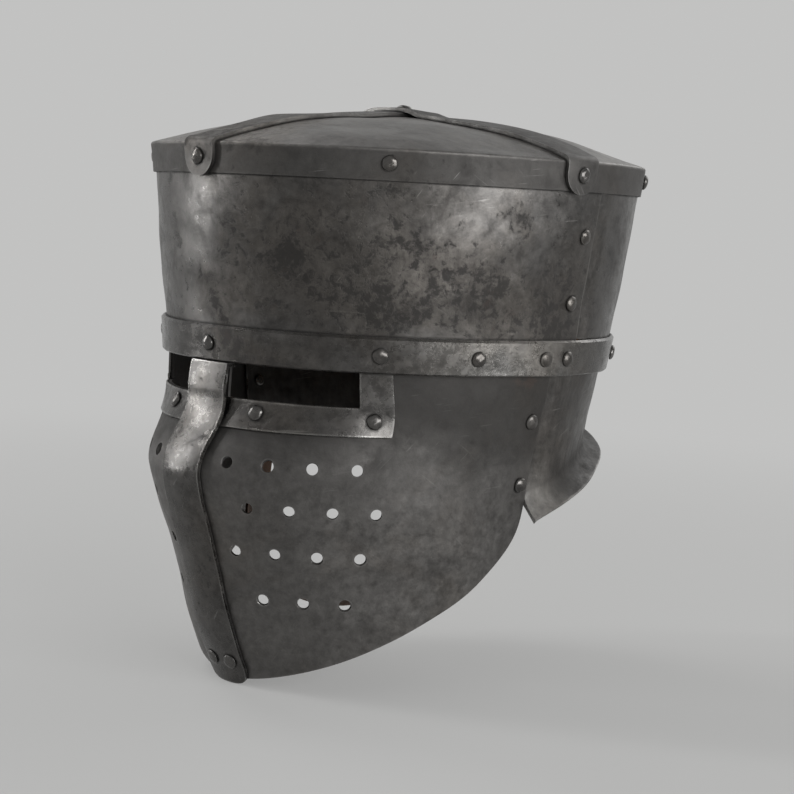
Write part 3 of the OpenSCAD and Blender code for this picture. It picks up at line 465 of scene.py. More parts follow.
def settle(obj, body, finish, slot, *nodes):
    """Gives a finished piece its material and its body, and hides the nodes that it stands for."""
    obj.data.materials.clear()
    obj.data.materials.append(finish_of(finish))
    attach(obj, body)
    if nodes:
        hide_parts(*nodes)


def form(kind, node, columns, rows, place, finish, slot, body="helm", thick=PLATE_T, rounding=None,
         gone=None, cuts=(), **sheet):
    """Lays a sheet, gives it its thickness inwards, breaks its edges, cuts it and finishes it."""
    obj = lay_sheet(kind + "_" + node, columns, rows, place, **sheet)
    if gone:
        drop_faces(obj, gone)
    apply_modifier(obj, "SOLIDIFY", thickness=thick * MM, offset=-1, use_even_offset=True)
    soften(obj, rounding)
    if cuts:
        cut(obj, cuts)
    smooth(obj)
    settle(obj, body, finish, slot, node)


def sew(name, body, slot, seam):
    """A seam of stitches. Each has its middle, its way along the seam and its outward way."""
    deselect()
    bpy.ops.mesh.primitive_uv_sphere_add(segments=6, ring_count=4, radius=1,
                                         scale=[size * MM for size in STITCH])
    pattern = bpy.context.object
    bpy.ops.object.transform_apply(location=False, rotation=False, scale=True)
    copies = []
    for place, along, out in seam:
        out = Vector(out).normalized()
        side = out.cross(Vector(along)).normalized()
        matrix = Matrix((side.cross(out), side, out)).transposed().to_4x4()
        matrix.translation = Vector(place) * MM
        copies.append(copied(pattern, matrix))
    discard(pattern)
    thread = joined(name, copies)
    smooth(thread, 180)
    settle(thread, body, "thread", slot)


# ---- Finishes ----

class Wire:
    """One output of a finish's node. Sums and products of wires add nodes."""

    def __init__(self, finish, socket):
        self.finish = finish
        self.socket = socket

    def maths(self, operation, *values):
        return self.finish.node("ShaderNodeMath", {"operation": operation}, dict(enumerate(values)))

    def __add__(self, other):
        return self.maths("ADD", self, other)

    def __sub__(self, other):
        return self.maths("SUBTRACT", self, other)

    def __rsub__(self, other):
        return self.maths("SUBTRACT", other, self)

    def __mul__(self, other):
        return self.maths("MULTIPLY", self, other)

    def __abs__(self):
        return self.maths("ABSOLUTE", self)

    __radd__, __rmul__ = __add__, __mul__

    def most(self, other):
        return self.maths("MAXIMUM", self, other)

    def least(self, other):
        return self.maths("MINIMUM", self, other)

    def climb(self, start, end):
        """Soft climb from 0 at start to 1 at end. It falls where end is the lower."""
        return self.finish.node(
            "ShaderNodeMapRange", {"interpolation_type": "SMOOTHSTEP"},
            {"Value": self, "From Min": start, "From Max": end, "To Min": 0.0, "To Max": 1.0})

    def stretched(self, x, y, z):
        return self.finish.vector("MULTIPLY", self, (x, y, z))

    def shifted(self, x, y, z):
        return self.finish.vector("ADD", self, (x, y, z))


class Finish:
    """A material under construction."""

    SOCKETS = {"base": "Base Color", "rough": "Roughness", "metal": "Metallic", "normal": "Normal",
               "specular": "Specular IOR Level", "sheen": "Sheen Weight"}

    def __init__(self, material):
        """Starts the nodes of a material or of the world afresh."""
        self.material = material
        material.use_nodes = True
        self.tree = material.node_tree
        self.tree.nodes.clear()

    def node(self, kind, options=None, values=None, output=0):
        made = self.tree.nodes.new(kind)
        for key, value in (options or {}).items():
            setattr(made, key, value)
        for key, value in (values or {}).items():
            socket = made.inputs[key]
            if isinstance(value, Wire):
                self.tree.links.new(value.socket, socket)
            else:
                socket.default_value = value
        return Wire(self, made.outputs[output]) if made.outputs else made

    def place(self):
        return self.node("ShaderNodeTexCoord", output="Object")

    def measure(self, name):
        return self.node("ShaderNodeAttribute", {"attribute_name": name}, output="Fac")

    def seen(self):
        """1 for what the camera sees, straight or mirrored, and 0 for the light on the object."""
        camera, glossy, through = (self.node("ShaderNodeLightPath", output="Is %s Ray" % way)
                                   for way in ("Camera", "Glossy", "Transmission"))
        return (camera + glossy + through).least(1.0)

    def noise(self, place, scale, detail=4.0, roughness=0.5, distortion=0.0):
        """Soft noise from 0 to 1; scale is in repeats to the metre."""
        return self.node("ShaderNodeTexNoise", {}, {
            "Vector": place, "Scale": scale, "Detail": detail, "Roughness": roughness,
            "Distortion": distortion})

    def cells(self, place, scale, feature):
        return self.node("ShaderNodeTexVoronoi", {"feature": feature}, {"Vector": place, "Scale": scale},
                         "Distance")

    def vector(self, operation, place, other, output=0):
        return self.node("ShaderNodeVectorMath", {"operation": operation}, {0: place, 1: other}, output)

    def part(self, place, axis):
        return self.node("ShaderNodeSeparateXYZ", {}, {0: place}, axis)

    def closeness(self, place, spot, reach):
        """1 at the spot, in millimetres, and 0 at its reach and beyond."""
        away = self.vector("DISTANCE", place, tuple(c * MM for c in spot), "Value")
        return away.climb(reach * MM, 0.0)

    def blend(self, a, b, share, way="MIX"):
        return self.node("ShaderNodeMix", {"data_type": "RGBA", "blend_type": way},
                         {0: share, 6: colour(a), 7: colour(b)}, 2)

    def shade(self, a, amount):
        """Colour a made darker or lighter by the amount."""
        grey = self.node("ShaderNodeCombineColor", {}, {0: amount, 1: amount, 2: amount})
        return self.blend(a, grey, 1.0, "MULTIPLY")

    def bump(self, height):
        """Normal of a height in millimetres."""
        return self.node("ShaderNodeBump", {}, {"Height": height, "Strength": 1.0, "Distance": MM})

    def surface(self, **sockets):
        shader = self.node("ShaderNodeBsdfPrincipled", {},
                           {self.SOCKETS[key]: value for key, value in sockets.items()})
        self.node("ShaderNodeOutputMaterial", {}, {"Surface": shader})
        return self.material


def colour(value):
    return (*value, 1.0) if isinstance(value, (tuple, list)) and len(value) == 3 else value


def tone(value, amount):
    return tuple(amount * c for c in value)


# near-black dirt, which also paints shade; bare steel, which also paints highlights; and rust
SOOT_AND_SHADE, BARE_AND_HIGHLIGHT, RUST = (0.012, 0.011, 0.010), (0.30, 0.295, 0.285), (0.060, 0.034, 0.024)
WARMTH = (1.10, 1.0, 0.88)


def steel(f, light=1.0, dark=1.0, patina=0.5, streaks=(1, 1, 1), brushed=0.06, wear=0.5, rough=0.24,
          rust=0.1, hammer=0.05, specks=0.5, grime_and_shade=None, thick=None, rub_and_highlight=None, scratched=1.0):
    """Blackened steel: pale where it was rubbed, dark where the patina held.

    light and dark scale its two colours; thick is a spot and reach where patina gathered, on the brow band a
    spot of painted shade instead;
    and the rubbed spot is a spot, reach and amount where handling wore it off, on the brow band and the nape
    flare also a painted highlight.
    """
    c = bpy.context.scene.helm_colours
    pale, dark = tone(c.pale_steel, light), tone(c.dark_steel, dark)
    p = f.place()
    cloud = f.noise(p, 14.0, 4.0, 0.6, 0.4)
    patch = f.noise(p.shifted(0.3, 0.1, 0.7), 42.0, 8.0, 0.64, 0.5)
    mottle = f.noise(p.shifted(0.7, 0.1, 0.2), 125.0, 7.0, 0.72, 0.3)
    fine = f.noise(p, 230.0, 6.0, 0.7)
    grain = f.noise(p, 1100.0, 3.0, 0.6)
    brush = f.noise(p.stretched(*streaks), 60.0, 6.0, 0.68)
    # a thicker patina round a spot; on the brow band this darker spot is painted shade
    if thick:
        cloud = cloud + f.closeness(p, *thick) * 0.17
    # soft clouds of patina, small dark specks that gather where it is thick, and wider stains
    held = (patch * 0.65 + cloud * 0.40 + mottle * 0.35).climb(0.58, 0.86) * patina
    speck = (f.noise(p.shifted(0.9, 0.2, 0.4), 210.0, 7.0, 0.72, 0.3) * 0.8 + patch * 0.5
             + (cloud - 0.5) * 0.70).climb(0.72, 0.86) * specks
    stain = f.noise(p.shifted(0.5, 0.8, 0.1), 62.0, 8.0, 0.66, 0.6).climb(0.46, 0.74) * patina
    # dirt beside the next piece, darkened there into a painted contact shadow, and metal bared along the
    # edges
    dirt_and_shade = f.measure("near").climb(1.35, 0.3) * (0.5 + fine)
    # a finish's own darkening by place: painted shade on the face and on the cap's flange, and dirt with
    # painted shade along the nape's crease
    if grime_and_shade:
        dirt_and_shade = dirt_and_shade.most(grime_and_shade(f, p, patch * 0.6 + brush * 0.6))
    chance = f.noise(p, 55.0, 5.0, 0.6).climb(0.42, 0.62)
    rubbed = ((f.measure("edge") + fine * 1.6 - 0.8).climb(0.9, 0.05) * (0.25 + 0.75 * chance) * wear
              * (1 - dirt_and_shade * 0.8))
    # the rubbed spot bares the steel, and on the brow band and the nape flare it paints a highlight where a
    # lamp's reflection falls
    if rub_and_highlight:
        spot, reach, amount = rub_and_highlight
        rubbed = rubbed.most(f.closeness(p, spot, reach) * (fine + brush - 0.35) * 1.4 * amount)
    scratch = scratches(f, p) * scratched
    rusty = (f.noise(p, 60.0, 6.0, 0.7) + (cloud - 0.5) * 0.5).climb(
        0.72 - 0.1 * rust, 0.80 - 0.1 * rust) * rust
    uneven = ((0.50 + 1.0 * fine) * (0.60 + 0.8 * mottle) * (1 + (brush - 0.5) * brushed * 5)
              * (0.86 + 0.28 * grain))
    base = f.blend(f.blend(pale, dark, held * 0.6), dark, (speck * 0.9).most(stain * 0.65))
    # near-black dirt and painted shade: a painted contact shadow beside the next piece, and the finish's own
    # painted shade marks
    base = f.blend(f.shade(base, uneven), SOOT_AND_SHADE, dirt_and_shade * 0.85)
    base = f.blend(base, BARE_AND_HIGHLIGHT, (rubbed * 0.75).most(scratch * 0.3))
    base = f.blend(base, RUST, rusty * 0.6)
    base = f.blend(base, f.blend(base, WARMTH, 1.0, "MULTIPLY"), cloud.climb(0.45, 0.7) * 0.4)
    roughness = (rough + held * 0.14 + speck * 0.20 + stain * 0.08 + dirt_and_shade * 0.2 + (fine - 0.5) * 0.42
                 + (mottle - 0.5) * 0.45 + (brush - 0.5) * 0.14 - rubbed * 0.12 + rusty * 0.2)
    metal = 1 - (held * 0.2 + speck * 0.35 + dirt_and_shade * 0.35 + rusty * 0.5).least(0.8)
    height = (f.noise(p, 80.0, 2.0) * hammer + fine * 0.10 + mottle * 0.10 + grain * 0.010
              + (brush - 0.5) * 0.03 - speck * 0.06 - scratch * 0.02)
    return f.surface(base=base, rough=roughness, metal=metal, normal=f.bump(height))


def shade_under_the_slots(f, p, cloud):
    """Painted shade under the brow band and the eye slots: the face plate darker towards its top."""
    return (f.part(p, "Z") + cloud * 0.05 - 0.03).climb(-0.085, -0.035) * 0.85


def shade_down_the_flange(f, p, cloud):
    """Painted top light on the cap: its turned-down flange darker than its dome, which the dome steel also
    paints paler.
    """
    return (f.part(p, "Z") + cloud * 0.002).climb(0.1000, 0.0975) * 0.85


def dirt_and_shade_along_the_crease(f, p, cloud):
    """Dirt and painted shade just above the crease of the nape plate's flare."""
    above = f.part(p, "Z") - CREASE_SIDE * MM - CREASE_SLOPE * f.part(p, "Y")
    return (above + (cloud - 0.6) * 0.06).climb(0.020, 0.002) * above.climb(-0.010, 0.0) * 0.8


def scratches(f, p):
    """Short straight scratches in three directions, each only in some places."""
    total = None
    ways = (((0.4, 0.5, 0.8), (0.7, 0.4, -0.6)), ((0.6, -0.4, 0.7), (0.5, -0.6, -0.6)),
            ((0.7, 0.7, 0.1), (0.1, 0.1, -1.0)))
    for seed, (along, across) in enumerate(ways):
        along, across = (f.vector("DOT_PRODUCT", p, way, "Value") for way in (along, across))
        line = f.node("ShaderNodeCombineXYZ", {}, {0: along * 70.0, 1: across * 900.0, 2: seed * 3.7})
        here = f.noise(p.shifted(seed, 0.4, seed * 0.2), 26.0, 3.0).climb(0.52, 0.66)
        line = f.noise(line, 1.0, 1.0, 0.4).climb(0.70, 0.78) * here
        total = line if total is None else total.most(line)
    return total


def plain_finish(f, base, rough, metal=0.0):
    p = f.place()
    fine = f.noise(p, 300.0, 5.0, 0.6)
    wide = f.noise(p, 40.0, 4.0, 0.6)
    return f.surface(base=f.shade(base, 0.75 + 0.3 * fine + 0.2 * wide), rough=rough + (fine - 0.5) * 0.2,
                     metal=metal, normal=f.bump(fine * 0.08))


def leather(f, colour_name, rubbed_colour):
    """Leather with pores and creases, paler where it is rubbed and along its cut edges."""
    base = tuple(getattr(bpy.context.scene.helm_colours, colour_name))
    p = f.place()
    pores = f.cells(p, 900.0, "SMOOTH_F1")
    creases = f.cells(p.shifted(0.1, 0.2, 0.3), 330.0, "DISTANCE_TO_EDGE")
    wide = f.noise(p, 35.0, 5.0, 0.6)
    fine = f.noise(p, 420.0, 4.0, 0.6)
    rubbed = (f.measure("edge") + fine * 1.6).climb(2.2, 0.6)
    base = f.blend(base, rubbed_colour, (wide.climb(0.5, 0.75) * 0.5).most(rubbed * 0.6))
    height = pores * 0.05 + creases.climb(0.0, 0.12) * 0.05 + fine * 0.03
    return f.surface(base=f.shade(base, 0.7 + 0.35 * wide + 0.25 * fine), specular=0.4, metal=0.0,
                     rough=0.55 + (fine - 0.5) * 0.3 - rubbed * 0.12, normal=f.bump(height))


def linen(f):
    """Plain-woven linen, its threads upright and round the helm."""
    p = f.place()
    around = f.part(p, "Y").maths("ARCTAN2", f.part(p, "Y"), f.part(p, "X"))
    weft, warp = (abs(yarn.maths("SINE", yarn)) for yarn in (f.part(p, "Z") * 2800.0, around * 300.0))
    weave = weft * warp
    wide = f.noise(p, 30.0, 5.0, 0.6)
    base = f.shade(tuple(bpy.context.scene.helm_colours.flax), 0.62 + 0.3 * weave + 0.28 * wide)
    return f.surface(base=base, rough=0.9, metal=0.0, specular=0.2, sheen=0.25,
                     normal=f.bump(weave * 0.18 + wide * 0.1))


# Each finish: what makes it, and what it is given
RECIPES = {
    "wall steel": (steel, dict(light=0.92, dark=0.5, patina=0.9, streaks=(1, 1, 2), rough=0.33, rust=0.3,
                               specks=0.95, thick=((56, -114, 36), 75))),
    # the dome steel's pale tone and its darker flange are painted top light
    "dome steel": (steel, dict(light=1.75, streaks=(0.35, 3, 3), brushed=0.14, wear=0.15, rough=0.42,
                               hammer=0.03, specks=0.6, grime_and_shade=shade_down_the_flange)),
    # the face's darkening under the slots is painted shade
    "face steel": (steel, dict(light=1.15, streaks=(1, 1, 2), wear=0.4, rough=0.45, rust=0.4, hammer=0.04,
                               specks=0.4, grime_and_shade=shade_under_the_slots, scratched=0.35)),
    # on the nape plate, the rub spot at the flare's front corner is bared steel with a painted highlight, and
    # the crease darkening is dirt with painted shade
    "nape steel": (steel, dict(light=0.85, dark=0.8, patina=0.8, streaks=(3, 3, 0.4), brushed=0.30, wear=1.0,
                               rough=0.40, rust=0.2, grime_and_shade=dirt_and_shade_along_the_crease, rub_and_highlight=((108, 2, -84), 40, 1.0))),
    # on the brow band, the thick spot is painted shade where the band mirrors a dark surround, and the rub
    # spot a painted highlight where it mirrors the right lamp
    "band steel": (steel, dict(light=0.83, dark=0.7, patina=0.8, streaks=(1, 1, 3), brushed=0.14, wear=0.6,
                               rust=0.2, specks=0.9, thick=((45, -118, -10), 80),
                               rub_and_highlight=((112, -28, 0), 80, 0.60))),
    "strap steel": (steel, dict(light=0.8, patina=0.7, brushed=0.08, rough=0.48, rust=0.2, specks=0.8)),
    "nasal steel": (steel, dict(light=0.8, dark=0.6, patina=0.6, streaks=(3, 3, 0.6), brushed=0.14, wear=0.7,
                                rough=0.26, hammer=0.06, specks=1.0, thick=((0, -138, -40), 60))),
    "rivet steel": (steel, dict(light=0.95, patina=0.4, brushed=0.05)),
    "buckle iron": (plain_finish, dict(base=(0.09, 0.087, 0.083), rough=0.42, metal=1.0)),
    "washer iron": (plain_finish, dict(base=(0.11, 0.107, 0.103), rough=0.38, metal=1.0)),
    "lining leather": (leather, dict(colour_name="tan", rubbed_colour=(0.36, 0.22, 0.12))),
    "strap leather": (leather, dict(colour_name="brown", rubbed_colour=(0.20, 0.11, 0.06))),
    "linen": (linen, {}),
    "hemp": (plain_finish, dict(base=(0.36, 0.28, 0.17), rough=0.9)),
    "thread": (plain_finish, dict(base=(0.42, 0.34, 0.22), rough=0.85)),
}


FINISHES = {}


def finish_of(name):
    """The named finish, made when it is first asked for."""
    if name not in FINISHES:
        maker, options = RECIPES[name]
        FINISHES[name] = maker(Finish(bpy.data.materials.new(name)), **options)
    return FINISHES[name]


# ---- Sizes and colours that a user would change ----

class HelmSizes(bpy.types.PropertyGroup):
    """Sizes of the dressed helm."""

    edge_round: bpy.props.FloatProperty(
        name="Edge rounding", description="Width of the broken edge on plates and straps",
        default=0.35 * MM, min=0.05 * MM, max=0.6 * MM, unit="LENGTH", precision=5)
    dent_depth: bpy.props.FloatProperty(
        name="Dent depth", description="Depth of the slow unevenness of the hand-raised plates",
        default=0.5 * MM, min=0.0, max=1.5 * MM, unit="LENGTH", precision=5)
    head_dent: bpy.props.FloatProperty(
        name="Head unevenness", description="Depth of the hammer marks on a rivet's head",
        default=0.16 * MM, min=0.0, max=0.4 * MM, unit="LENGTH", precision=5)


class HelmColours(bpy.types.PropertyGroup):
    """Colours of the dressed helm."""

    pale_steel: bpy.props.FloatVectorProperty(
        name="Rubbed steel", description="Colour of the plates where the patina is thin",
        default=(0.116, 0.112, 0.108), min=0, max=1, subtype="COLOR")
    dark_steel: bpy.props.FloatVectorProperty(
        name="Patina", description="Colour of the plates where the patina held",
        default=(0.034, 0.032, 0.031), min=0, max=1, subtype="COLOR")
    tan: bpy.props.FloatVectorProperty(
        name="Lining leather", description="Colour of the lining's leather",
        default=(0.235, 0.125, 0.062), min=0, max=1, subtype="COLOR")
    brown: bpy.props.FloatVectorProperty(
        name="Strap leather", description="Colour of the chin strap's leather",
        default=(0.085, 0.042, 0.022), min=0, max=1, subtype="COLOR")
    flax: bpy.props.FloatVectorProperty(
        name="Linen", description="Colour of the pad's undyed linen",
        default=(0.44, 0.37, 0.26), min=0, max=1, subtype="COLOR")
    backdrop: bpy.props.FloatVectorProperty(
        name="Backdrop", description="Colour of the floor and of what lies behind",
        default=(0.54, 0.54, 0.535), min=0, max=1, subtype="COLOR")


# ---- Operators: one for each piece or group of like pieces ----

class HelmStep(bpy.types.Operator):
    """A step in the making of the helm."""

    bl_options = {"REGISTER", "UNDO"}

    def execute(self, context):
        self.make()
        return {"FINISHED"}


CAMERA_TURN, CAMERA_TILT, CAMERA_ROLL = (math.radians(a) for a in (45.513, 5.4556, 2.931))
CAMERA_PLACE, CAMERA_LENS = (0.75588, -0.73671, 0.06980), 88.8
# Each lamp: its way from the helm, its distance, its width and height, and its brightness
LAMPS = {
    "left lamp": ((-0.757, -0.613, 0.235), 1.5, (0.17, 1.3), 18.0),
    "right lamp": ((0.999, -0.035, 0.07), 1.6, (1.6, 1.3), 5.3),
    "top lamp": ((-0.62, -0.05, 0.75), 1.5, (0.5, 0.5), 5.0),
    "front lamp": ((0.55, -0.62, 0.75), 1.6, (0.9, 0.7), 0.15),
    "back lamp": ((0.05, 0.83, 0.55), 1.6, (1.2, 0.8), 1.9),
}


class HELM_OT_studio(HelmStep):
    """Set the camera, the floor, the backdrop and the lamps"""

    bl_idname = "helm.studio"
    bl_label = "Studio"

    def make(self):
        bpy.context.scene.view_settings.view_transform = "Standard"
        self.camera()
        self.floor()
        self.world()
        for name, lamp in LAMPS.items():
            self.lamp(name, *lamp)

    def camera(self):
        turn, tilt, roll = CAMERA_TURN, CAMERA_TILT, CAMERA_ROLL
        back = Vector((math.sin(turn) * math.cos(tilt), -math.cos(turn) * math.cos(tilt), math.sin(tilt)))
        right = Vector((math.cos(turn), math.sin(turn), 0))
        up = back.cross(right)
        across = math.cos(roll) * right + math.sin(roll) * up
        upward = -math.sin(roll) * right + math.cos(roll) * up
        camera = bpy.data.cameras.new("camera")
        camera.lens, camera.sensor_width = CAMERA_LENS, 36
        camera.clip_start, camera.clip_end = 0.05, 50
        stand = bpy.data.objects.new("camera", camera)
        stand.matrix_world = Matrix((across, upward, back)).transposed().to_4x4()
        stand.matrix_world.translation = CAMERA_PLACE
        bpy.context.scene.collection.objects.link(stand)
        bpy.context.scene.camera = stand

    def lamp(self, name, direction, distance, size, radiance):
        data = bpy.data.lights.new(name, "AREA")
        data.shape = "RECTANGLE"
        data.size, data.size_y = size
        data.energy = radiance * math.pi * size[0] * size[1]
        way = Vector(direction).normalized()
        lamp = bpy.data.objects.new(name, data)
        lamp.location = Vector((0, 0, -0.03)) + way * distance
        lamp.rotation_euler = way.to_track_quat("Z", "Y").to_euler()
        lamp.visible_camera = False
        bpy.context.scene.collection.objects.link(lamp)

    def floor(self):
        deselect()
        bpy.ops.mesh.primitive_plane_add(size=24, location=(0, 0, CAD_BOX[0][2] - 0.4 * MM))
        floor = named(bpy.context.object, "floor")
        bpy.ops.object.transform_apply(location=True, rotation=False, scale=False)
        f = Finish(bpy.data.materials.new("floor"))
        tint = (*bpy.context.scene.helm_colours.backdrop, 1)
        far = f.node("ShaderNodeVectorMath", {"operation": "LENGTH"}, {0: f.place()}, "Value")
        # near the helm the shadow shows, and further off the floor turns into the backdrop
        pale = f.node("ShaderNodeEmission", {}, {"Color": tint})
        matt = f.node("ShaderNodeBsdfDiffuse", {}, {"Color": tint})
        f.node("ShaderNodeOutputMaterial", {}, {"Surface": f.node("ShaderNodeMixShader", {}, {
            0: f.seen() * mix(0.45, 1.0, far.climb(0.30, 1.3)), 1: matt, 2: pale})})
        floor.data.materials.append(f.material)

    def world(self):
        world = bpy.data.worlds.new("backdrop")
        bpy.context.scene.world = world
        f = Finish(world)
        tint = (*bpy.context.scene.helm_colours.backdrop, 1)
        up = f.part(f.node("ShaderNodeTexCoord", output="Generated"), "Z")
        strength = mix(0.62, 1.0, f.seen()) * mix(1.0, 0.72, up.climb(0.25, 0.75))
        light = f.node("ShaderNodeBackground", {}, {"Color": tint, "Strength": strength})
        f.node("ShaderNodeOutputWorld", {}, {"Surface": light})


class HELM_OT_cap_plate(HelmStep):
    """Raise the cap plate's dome and turn down its flange"""

    bl_idname = "helm.cap_plate"
    bl_label = "Cap plate"

    def make(self):
        turn_in = 1.3
        edge_f = 1 - turn_in / (TOP_W / 2)

        def place(u, v):
            t, s = 360 * u, spread(v, (8, 4, 56))
            start = wall(t, RIM_TOP - turn_in + 0 * t, CAP_OFF)
            flange = wall(t, mix(RIM_LOW, RIM_TOP - turn_in, np.clip(s, 0, 1)), CAP_OFF)
            corner = curve(start, dome(1 + 0 * t, t), dome(edge_f + 0 * t, t), np.clip(s - 1, 0, 1))
            top = dome(mix(edge_f, 0, np.clip(s - 2, 0, 1)), t)
            return np.where((s <= 1)[:, None], flange, np.where((s <= 2)[:, None], corner, top))

        form("steel", "cap_plate", 240, 68, place, "dome steel", "dark_steel", weld=True)


class HELM_OT_cap_straps(HelmStep):
    """Forge the two straps that cross on the cap"""

    bl_idname = "helm.cap_straps"
    bl_label = "Cap straps"

    def make(self):
        for node, cross_way in (("cap_strap_long", False), ("cap_strap_cross", True)):
            form("steel", node, 190, 14, lambda u, v: self.place(u, v, cross_way), "strap steel",
                 "worn_steel", thick=STRAP_T, rounding=0.5)

    def place(self, u, v, cross_way):
        off, last, radius = STRAP_GAP + STRAP_T, 0.978, STRAP_W / 2
        a = radius * sind(90 * (2 * v - 1)) * (1 if cross_way else -1)
        s = spread(u, (9, 8, 156, 8, 9))
        side = np.where(s < 2.5, -1.0, 1.0)
        # 0 to 1 up the flange, 1 to 2 round the bend
        m = np.where(s < 2.5, s, 5 - s)

        def halves(z, out):
            """The cap's half size along the strap and across it."""
            sizes = (wall_hl(z) + CAP_OFF + out, wall_hw(z) + CAP_OFF + out)
            return sizes[::-1] if cross_way else sizes

        def turn(along, z, level):
            x, y = (along, a) if cross_way else (a, along)
            return stack(x, y + wall_cy(level), z)

        def rim(z):
            half, across = halves(z, off)
            return turn(side * half * np.sqrt(1 - (a / across) ** 2), z, z)

        def over(k):
            half, across = halves(RIM_TOP, 0)
            q = np.sqrt(1 - (a / across) ** 2)
            z = RIM_TOP + DOME_RISE * (1 - np.hypot(k * q, a / across) ** DOME_POWER) + off
            if cross_way:
                z = z + off * ease(1 + (radius + 0.4 - np.abs(k) * half) / STRAP_CLIMB)
            return turn(k * q * half, z, RIM_TOP)

        tip = RIM_LOW - TONGUE_DROP + radius - np.sqrt(np.maximum(radius ** 2 - a ** 2, 0))
        high = RIM_TOP - 1.5
        up = rim(mix(tip, high, np.clip(m, 0, 1)))
        bend = curve(rim(high + 0 * a), rim(RIM_TOP + off + 0 * a), over(side * last), np.clip(m - 1, 0, 1))
        top = over(mix(-last, last, np.clip(s - 2, 0, 1)))
        return np.where((m <= 1)[:, None], up, np.where((m <= 2)[:, None], bend, top))


class HELM_OT_skull_plates(HelmStep):
    """Roll the two plates of the upper wall"""

    bl_idname = "helm.skull_plates"
    bl_label = "Skull plates"

    def make(self):
        low_z, half = 1.4 - BAND_HALF, NASAL_W / 2 + 0.3

        def front(u, v):
            return wall(SKULL_SEAM * (2 * u - 1), mix(low_z, WALL_TOP, v))

        def back(u, v):
            start = SKULL_SEAM - LAP_ANGLE
            t = mix(start, 360 - start, u)
            return wall(t, mix(low_z, WALL_TOP, v), -set_in(t, SKULL_SEAM))

        form("steel", "skull_plate_front", 216, 54, front, "wall steel", "dark_steel",
             cuts=[block((-half, -BROW_L, -BAND_HALF), (half, 0, BAND_HALF - 1))])
        form("steel", "skull_plate_back", 200, 54, back, "wall steel", "dark_steel",
             cuts=[block((s * BROW_W / 2 - 30, -15, -BAND_HALF), (s * BROW_W / 2 + 30, 35, BAND_HALF + 0.4))
                   for s in (-1, 1)])


class HELM_OT_brow_bands(HelmStep):
    """Forge the brow band's two halves with their bevelled upper edge"""

    bl_idname = "helm.brow_bands"
    bl_label = "Brow bands"

    def make(self):
        seam, lap, end = SKULL_SEAM, SKULL_SEAM - 16, SKULL_SEAM - 0.2

        def front(u, v):
            t = between(spread(u, (16, 1, 170, 1, 16)), (-end, -lap - 0.02, -lap, lap, lap + 0.02, end))
            thin = np.abs(t) > lap + 0.01
            return self.section(t, v, np.where(thin, 2 * PLATE_GAP + HALF_BAND, PLATE_GAP), BAND_OUT,
                                np.where(thin, BAND_BEVEL * 0.7, BAND_BEVEL))

        def back(u, v):
            t = between(spread(u, (16, 1, 160, 1, 16)),
                        (lap + 0.3, seam, seam + 0.05, 359.95 - seam, 360 - seam, 359.7 - lap))
            thin = fold(t) <= seam + 0.01
            return self.section(t, v, PLATE_GAP, PLATE_GAP + np.where(thin, HALF_BAND, BAND_T),
                                np.where(thin, 0.5, BAND_BEVEL))

        for node, columns, place in (("brow_band_front", 204, front), ("brow_band_back", 194, back)):
            band = lay_sheet("steel_" + node, columns, 18, place, weld=True)
            with editing(band, "EDGE"):
                bpy.ops.mesh.select_all(action="DESELECT")
                bpy.ops.mesh.select_non_manifold()
                bpy.ops.mesh.edge_face_add()
            soften(band, 0.3, 30)
            smooth(band, 30)
            settle(band, "helm", "band steel", "worn_steel", node)

    def section(self, t, v, inner, outer, bevel):
        s, h = spread(v, (2, 1, 9, 1, 2, 3)), BAND_HALF
        z = between(s, (-h, -h, -h + bevel / 2, h - bevel, h, h, -h))
        off = between(s, (inner, outer - bevel / 2, outer, outer, outer - bevel, inner, inner))
        return wall(t, z, off)


def hole_places():
    """Each breath hole's point and outward direction."""
    def walk(t, z, d):
        for _ in range(6):
            t = t + d / 6 / np.linalg.norm(low(t + 0.5, z) - low(t - 0.5, z))
        return t

    places = []
    for row, count in enumerate(HOLE_COUNTS):
        z = HOLE_TOP - HOLE_ROWS[row] * HOLE_ROW
        shrink = low_hw(z) / low_hw(HOLE_TOP)
        first = walk(1.0, z, (HOLE_START + (row % 2) * HOLE_PITCH / 2) * shrink)
        for i in range(count):
            t = walk(first, z, i * HOLE_PITCH * mix(1, shrink, 0.5))
            places += [(low(side * t, z), normal(low, side * t, z)) for side in (1, -1)]
    return places


class HELM_OT_face_plate(HelmStep):
    """Form the keeled face plate and cut its eye slots and breath holes"""

    bl_idname = "helm.face_plate"
    bl_label = "Face plate"

    def make(self):
        def place(u, v):
            w = 2 * u - 1
            t = FACE_SEAM * np.sign(w) * (1 - (1 - np.abs(w)) ** 1.35)
            z = between(spread(v, (56, 38)), (face_edge(t), NOSE_Z + 0 * t, BAND_HALF - 1.4 + 0 * t))
            return low(t, z)

        r = HOLE_D / 2
        punch = turned("punch", [(r, -8), (r, -0.35), (r + 0.1, -0.1), (r + 0.45, 0.35), (r + 0.45, 8)], 28)
        tools = [stood(punch, *spot) for spot in hole_places()]
        discard(punch)
        tools += [block((x, -BROW_L, SLOT_BOTTOM), (x + SLOT_END - SLOT_START, 0, 1 - BAND_HALF))
                  for x in (SLOT_START, -SLOT_END)]
        form("steel", "face_plate", 196, 94, place, "face steel", "dark_steel", cuts=tools)


